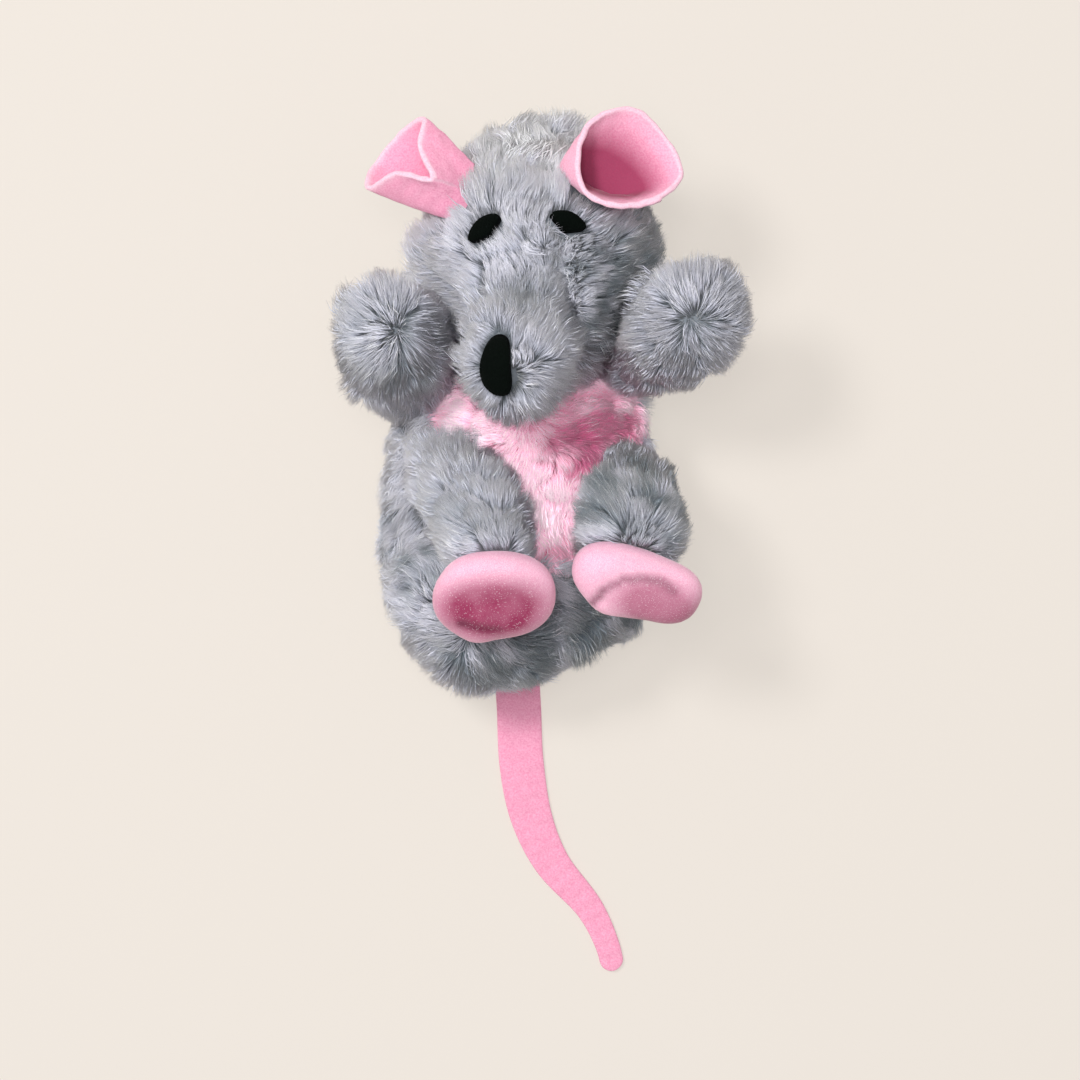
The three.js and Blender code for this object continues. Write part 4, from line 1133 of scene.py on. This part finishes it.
def foot_piece(side, fold, sole, depth, finish):
    """A foot: its plumped pad, with marks for painted shade: the sole, an oval darker by a depth and
    towards its lower end, and the fold. sole holds how far right and up its middle lies, and its half
    sizes."""
    bag = foot_bags[side]
    turn = bag.turn

    def own_of(points):
        """How far right and up the foot points lie, and how high above its middle plane."""
        own = (points - bag.middle) @ turn
        return own[:, 0], -own[:, 2], own[:, 1]

    def folded(points, spread):
        """How far into the fold points lie: its strength, falling off as a bell over a spread."""
        across, up, height = own_of(points)
        depths = [
            strength * np.exp(-((across - a) ** 2 + (up - b) ** 2) / spread ** 2) for a, b, strength in fold
        ]
        return np.where(height > 0, np.max(depths, axis=0), 0.0)

    ways, faces = bag_grid(120, 80)
    places, faces = plumped(bag.skin(ways), faces, lambda points: folded(points, 1.0) > 0.4)
    across, up, height = own_of(places)
    middle_across, middle_up, half_across, half_up = sole
    oval = np.hypot((across - middle_across) / half_across, (up - middle_up) / half_up)
    # Painted shade: the sole mark darkens the sole's oval, more towards its lower end, and the fold mark
    # darkens the folds
    marks = {
        "sole": depth * np.clip((1.3 - oval) / 0.6, 0, 1) * np.clip(1.0 - 0.04 * up, 0, 1) * (height > 0),
        "fold": folded(places, 1.1),
    }
    made = make_piece(f"foot_{side}_pad", places, faces, finish, f"leg_{side}", marks)
    finer = made.modifiers.new("finer", "SUBSURF")
    finer.levels = finer.render_levels = 2
    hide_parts(f"foot_{side}_skin")


pink_velour = Finish(
    "pink_velour", Roughness=0.75, Sheen_Weight=0.25, Sheen_Roughness=0.35, Specular_IOR_Level=0.3,
)
velour_nap = pink_velour.noise(0.22, 3.0)
velour_cloud = pink_velour.noise(5.0, 3.0)
velour_tone = pink_velour.mix(velour_nap.within(0.3, 0.7), colour(240, 168, 197), colour(252, 203, 221))
velour_tone = pink_velour.scaled(velour_tone, velour_cloud * 0.24 + 0.88)
# Painted shade: the sole goes darker
velour_painted_sole_shade = pink_velour.attribute("sole") * (velour_cloud * 0.5 + 0.72)
velour_tone = pink_velour.mix(velour_painted_sole_shade, velour_tone, colour(150, 52, 88))
# Painted shade: the folds go much darker
velour_tone = pink_velour.mix(pink_velour.attribute("fold") * 0.75, velour_tone, colour(92, 20, 50))
# Painted glints: bright specks scattered over the nap
velour_painted_glint = pink_velour.noise(0.3, 1.0).above(0.65) * velour_cloud
pink_velour.feed(Base_Color=pink_velour.mix(velour_painted_glint * 0.5, velour_tone, colour(255, 236, 244)))
pink_velour.bump(velour_nap, 0.06)

# The thighs: bags of the grey pile cloth, sewn to the body along their upper ends, with the pile
# lying up and away from the feet
# Painted shade on the right thigh and, more faintly, on the left one
THIGH_PAINTED_SHADE = (
    ((17.0, 10.0, 54.0), 9.0, 1.0), ((30.0, 6.0, 52.0), 12.0, 0.7), ((-9.0, 6.0, 54.0), 13.0, 0.45),
)
THIGH_STANDING = (((16.0, 8.0, 56.0), 7.0, 0.8),)
THIGH_FIBRES = 26000
for side, ankle, seed in (("left", LEFT_HIP + LEFT_THIGH, 31), ("right", RIGHT_HIP + RIGHT_THIGH, 32)):
    thigh, foot = thigh_bags[side], foot_bags[side]
    cloth_of(thigh, f"leg_{side}_cloth", grey_backing, f"leg_{side}", "grey_plush", CLOTH_SINK, *LIMB_CLOTH)
    for stuffed, part in ((thigh, "thigh"), (foot, "foot")):
        filling_of(stuffed, f"{part}_{side}_fill", f"leg_{side}", f"leg_{side}_stuffing", *LIMB_FILLING)
    pile = grow(
        f"leg_{side}_pile", thigh, THIGH_FIBRES, seed,
        lambda p: p - ankle,
        lambda p: (body_bag.depth(p) < 1.5) & (foot.depth(p) < 0.5),
        grey_pile, f"leg_{side}",
        length=5.4, standing=THIGH_STANDING, painted_shading=THIGH_PAINTED_SHADE,
        bare=lambda p: inside_any(p, (foot, body_bag)),
    )
    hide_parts(f"leg_{side}_skin")
foot_piece("left", LEFT_FOLD, (-0.4, -1.6, 12.0, 7.4), 1.0, pink_velour)
foot_piece("right", RIGHT_FOLD, (6.4, -2.0, 9.6, 6.4), 0.72, pink_velour)

# The body: one bag of grey pile cloth, with a panel of shorter pink pile sewn into its front. The grey
# pile lies down and out to the sides, and away from the point on the rump where the seams meet
BACK_FIBRES = 43000
BELLY_FIBRES = 34000
BELLY_X = 6.0
BELLY_Y = 21.0
BELLY_HALF = 25.5
BELLY_TOP = 19.0
BELLY_FOOT = 26.0
BELLY_SEAM = 28.0


def belly_outline():
    """The belly panel's outline, four cubic arcs from its left corner round by its foot, as the angle
    and the distance from its middle."""
    w, t, f = BELLY_HALF, BELLY_TOP, BELLY_FOOT
    arcs = (
        ((-w, 0), (-w, -0.45 * f), (-0.42 * w, -f), (0, -f)),
        ((0, -f), (0.42 * w, -f), (w, -0.45 * f), (w, 0)),
        ((w, 0), (w, 0.8 * t), (0.7 * w, t), (0, t)),
        ((0, t), (-0.7 * w, t), (-w, 0.8 * t), (-w, 0)),
    )
    s = np.linspace(0, 1, 40)[:, None]
    line = np.concatenate([
        (1 - s) ** 3 * np.array(a) + 3 * (1 - s) ** 2 * s * np.array(b) + 3 * (1 - s) * s ** 2 * np.array(c)
        + s ** 3 * np.array(d) for a, b, c, d in arcs
    ])
    angle = np.arctan2(line[:, 1], line[:, 0])
    order = np.argsort(angle)
    return angle[order], np.hypot(line[:, 0], line[:, 1])[order]


outline_angle, outline_reach = belly_outline()


def on_belly(places):
    """Whether places on the body lie within the belly panel's outline, on its front."""
    own = places[:, :2] - (BELLY_X, BELLY_Y)
    reach = np.interp(np.arctan2(own[:, 1], own[:, 0]), outline_angle, outline_reach, period=2 * np.pi)
    return (np.hypot(own[:, 0], own[:, 1]) < reach) & (places[:, 2] > BELLY_SEAM)


def on_body(places):
    """Body roots that show: off the floor and outside the head, the thighs and the arms."""
    shown = (places[:, 2] > LOWEST_ROOT) & (head_bag.depth(places) < 1.0)
    for bag in (*thigh_bags.values(), *arm_bags.values()):
        shown &= bag.depth(places) < 1.5
    return shown


def in_limbs(places):
    """Whether places lie inside the head or a limb."""
    bags = (head_bag, *arm_bags.values(), *thigh_bags.values(), *foot_bags.values())
    return inside_any(places, bags)


RUMP_SEAM = np.array([-12.9, -20.8, 40.0])


def body_lay(places):
    """Down the body and out to its sides, and on the rump away from the seam point there."""
    out = places - (0.0, 6.0, 25.0)
    down = np.array([0.0, -26.0, 0.0]) + out * (0.9, 0.25, 0.5)
    near = np.exp(-((places - RUMP_SEAM) ** 2).sum(-1) / 20.0 ** 2)[:, None]
    return unit(down) * (1 - near) + unit(places - RUMP_SEAM) * near * 1.4


def belly_lay(places):
    """Down the belly, and at its upper corners out to each side."""
    upper = np.clip((places[:, 1] - 17.0) / 8.0, 0, 1)[:, None]
    side = np.clip((places[:, :1] - 2.0) / 8.0, -1, 1)
    out = np.concatenate([side, 0.5 * np.abs(side), np.zeros_like(side)], axis=1)
    return (1 - 0.5 * upper) * np.array([-0.15, -1.0, 0.0]) + upper * out


cloth_of(body_bag, "body_cloth", grey_backing, "body", "grey_plush", columns=120, rings=80, inset=on_belly)
filling_of(body_bag, "body_fill", "body", "body_stuffing")
# Painted shade on the lower right of the body, on its sides and on the rump
BODY_PAINTED_SHADE = (
    ((12.0, -18.0, 40.0), 14.0, 1.0), ((25.0, -12.0, 30.0), 12.0, 0.8), ((-29.0, 4.0, 30.0), 11.0, 0.4),
    ((-6.0, -24.0, 38.0), 10.0, 0.7), ((-19.0, -6.0, 42.0), 9.0, 0.6),
)
BODY_THIN = (((18.0, -27.0, 22.0), 14.0, 1.0),)
for part, seed, keep in (
    ("back_left_pile", 41, lambda p: on_body(p) & ~on_belly(p) & (p[:, 0] < 0)),
    ("back_right_pile", 42, lambda p: on_body(p) & ~on_belly(p) & (p[:, 0] >= 0)),
):
    pile = grow(
        part, body_bag, BACK_FIBRES, seed, body_lay, keep, grey_pile, "body",
        thin=BODY_THIN, painted_shading=BODY_PAINTED_SHADE, bare=in_limbs,
    )
    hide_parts("back_panel")
# Painted shade on the belly's upper corners and its foot, and painted light, paler, on its left and middle,
# where the strength is below 0
BELLY_PAINTED_LIGHT_AND_SHADE = (
    ((20.0, 29.0, 43.0), 13.0, 0.95), ((12.0, 24.0, 48.0), 7.0, 0.7), ((8.0, -1.0, 50.0), 6.0, 0.8),
    ((-7.0, 20.0, 50.0), 11.0, -0.35), ((3.0, 11.0, 52.0), 9.0, -1.0), ((-20.0, 27.0, 42.0), 6.0, 0.7),
)
# The pink pile has a painted glow: through makes it emit up to 0.22 of its own colour
pink_pile = pile_finish(
    "pink_pile", colour(255, 176, 210), colour(255, 202, 224), colour(255, 230, 241), colour(255, 251, 253),
    colour(208, 80, 138), patch=0.12, through=0.22,
)
pile = grow(
    "belly_pile", body_bag, BELLY_FIBRES, 43, belly_lay, lambda p: on_body(p) & on_belly(p),
    pink_pile, "body",
    length=5.0, lean=72.0, pull=0.25, painted_shading=BELLY_PAINTED_LIGHT_AND_SHADE, bare=in_limbs,
)
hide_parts("belly_panel")

# The tail: a strip of pink felt, cut with a round end and sewn flat into the rump. It falls from there
# to the floor and lies on it in a bend
TAIL_ROOT = hinges["tail_root"]
TAIL_SLOPE = 18.0
TAIL_WIDE = 10.6
TAIL_TIP_WIDE = 5.6
TAIL_LINE = np.array([
    (0, 0), (0.04, 0.2), (0.07, 0.38), (0.17, 0.54), (0.37, 0.673), (0.76, 0.815), (0.93, 0.92), (1, 1),
]) * (23.6, -79.0)


def smooth(value, low, high):
    """0 below low, 1 above high and an even ease between them."""
    share = np.clip((value - low) / (high - low), 0, 1)
    return share * share * (3 - 2 * share)


def tail_strip(finish, steps=260, around=20):
    """A flat strip along the tail's line: it falls from its root to the floor, narrows towards its tip
    and ends in a half round. Its section is a block with rounded edges."""
    line = curve_at(np.column_stack([TAIL_LINE, np.zeros(len(TAIL_LINE))]), np.linspace(0, 1, 2000), False)
    run = np.concatenate([[0], np.cumsum(np.linalg.norm(np.diff(line, axis=0), axis=1))])
    length = run[-1]
    tip_radius = TAIL_TIP_WIDE / 2
    round_end = length - tip_radius * (1 - np.sin(np.linspace(0, np.pi / 2, 14)[1:-1]))
    at = np.concatenate([np.linspace(0, length - tip_radius, steps), round_end])
    middle = np.stack([np.interp(at, run, line[:, k]) for k in range(3)], -1)
    ahead = np.stack([np.interp(at + 0.5, run, line[:, k]) for k in range(3)], -1)
    behind = np.stack([np.interp(at - 0.5, run, line[:, k]) for k in range(3)], -1)
    side = unit(np.cross(unit(ahead - behind + 1e-6), UP))
    half = (TAIL_WIDE + (TAIL_TIP_WIDE - TAIL_WIDE) * smooth(at / length, 0.35, 1.0)) / 2
    past = np.clip((at - (length - tip_radius)) / tip_radius, 0, 1)
    half = half * np.sqrt(1 - past ** 2)
    level = 0.2 + FELT_THICK / 2
    middle[:, 2] = TAIL_ROOT[2] + (level - TAIL_ROOT[2]) * smooth(at, 0, TAIL_SLOPE)
    middle[:, :2] += TAIL_ROOT[:2]
    angle = 2 * np.pi * (np.arange(around) + 0.5) / around
    block = np.sign(np.cos(angle)) * np.abs(np.cos(angle)) ** 0.35
    high = np.sign(np.sin(angle)) * np.abs(np.sin(angle)) ** 0.6
    ripple = 0.08 * np.sin(at * 1.9)[:, None] * (high > 0)
    places = middle[:, None] + block[None, :, None] * half[:, None, None] * side[:, None]
    places = places + (high * FELT_THICK / 2 + ripple)[..., None] * UP
    count = len(at)
    i, j = np.meshgrid(np.arange(count - 1), np.arange(around), indexing="ij")
    k = (j + 1) % around
    a, b = i * around + j, i * around + k
    quads = np.stack([a, b, b + around, a + around], -1).reshape(-1, 4)
    places = np.concatenate([places.reshape(-1, 3), middle[:1], middle[-1:]])
    j = np.arange(around)
    k = (j + 1) % around
    root = np.stack([np.full(around, count * around), k, j], -1)
    last = (count - 1) * around
    tip = np.stack([np.full(around, count * around + 1), last + j, last + k], -1)
    faces = [quads[:, ::-1], np.concatenate([root, tip])[:, ::-1]]
    made = make_piece("tail_strip", places, faces, finish, "tail")
    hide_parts("tail")


tail_strip(pink_felt)

# The catnip: dried leaf in a thin pouch of two pieces of non-woven cloth, loose in the filling behind
# the belly. The frame's own solids stay for these three, with new materials
pouch_cloth = Finish("pouch_cloth", Roughness=0.9)
pouch_web = pouch_cloth.noise(0.4, 4.0)
pouch_cloth.feed(Base_Color=pouch_cloth.mix(pouch_web, colour(214, 208, 192), colour(238, 234, 222)))
pouch_cloth.bump(pouch_web, 0.1)
dried_leaf = Finish("dried_leaf", Roughness=0.9)
flakes = dried_leaf.noise(1.1, 5.0, roughness=0.7)
dried_leaf.feed(Base_Color=dried_leaf.mix(flakes.within(0.3, 0.7), colour(74, 82, 44), colour(140, 146, 92)))
dried_leaf.bump(flakes, 0.5)
for node_name, finish in (
    ("sachet_front", pouch_cloth),
    ("sachet_back", pouch_cloth),
    ("catnip_fill", dried_leaf),
):
    node = frame["nodes"][node_name]
    node.data.materials.clear()
    node.data.materials.append(finish.material)
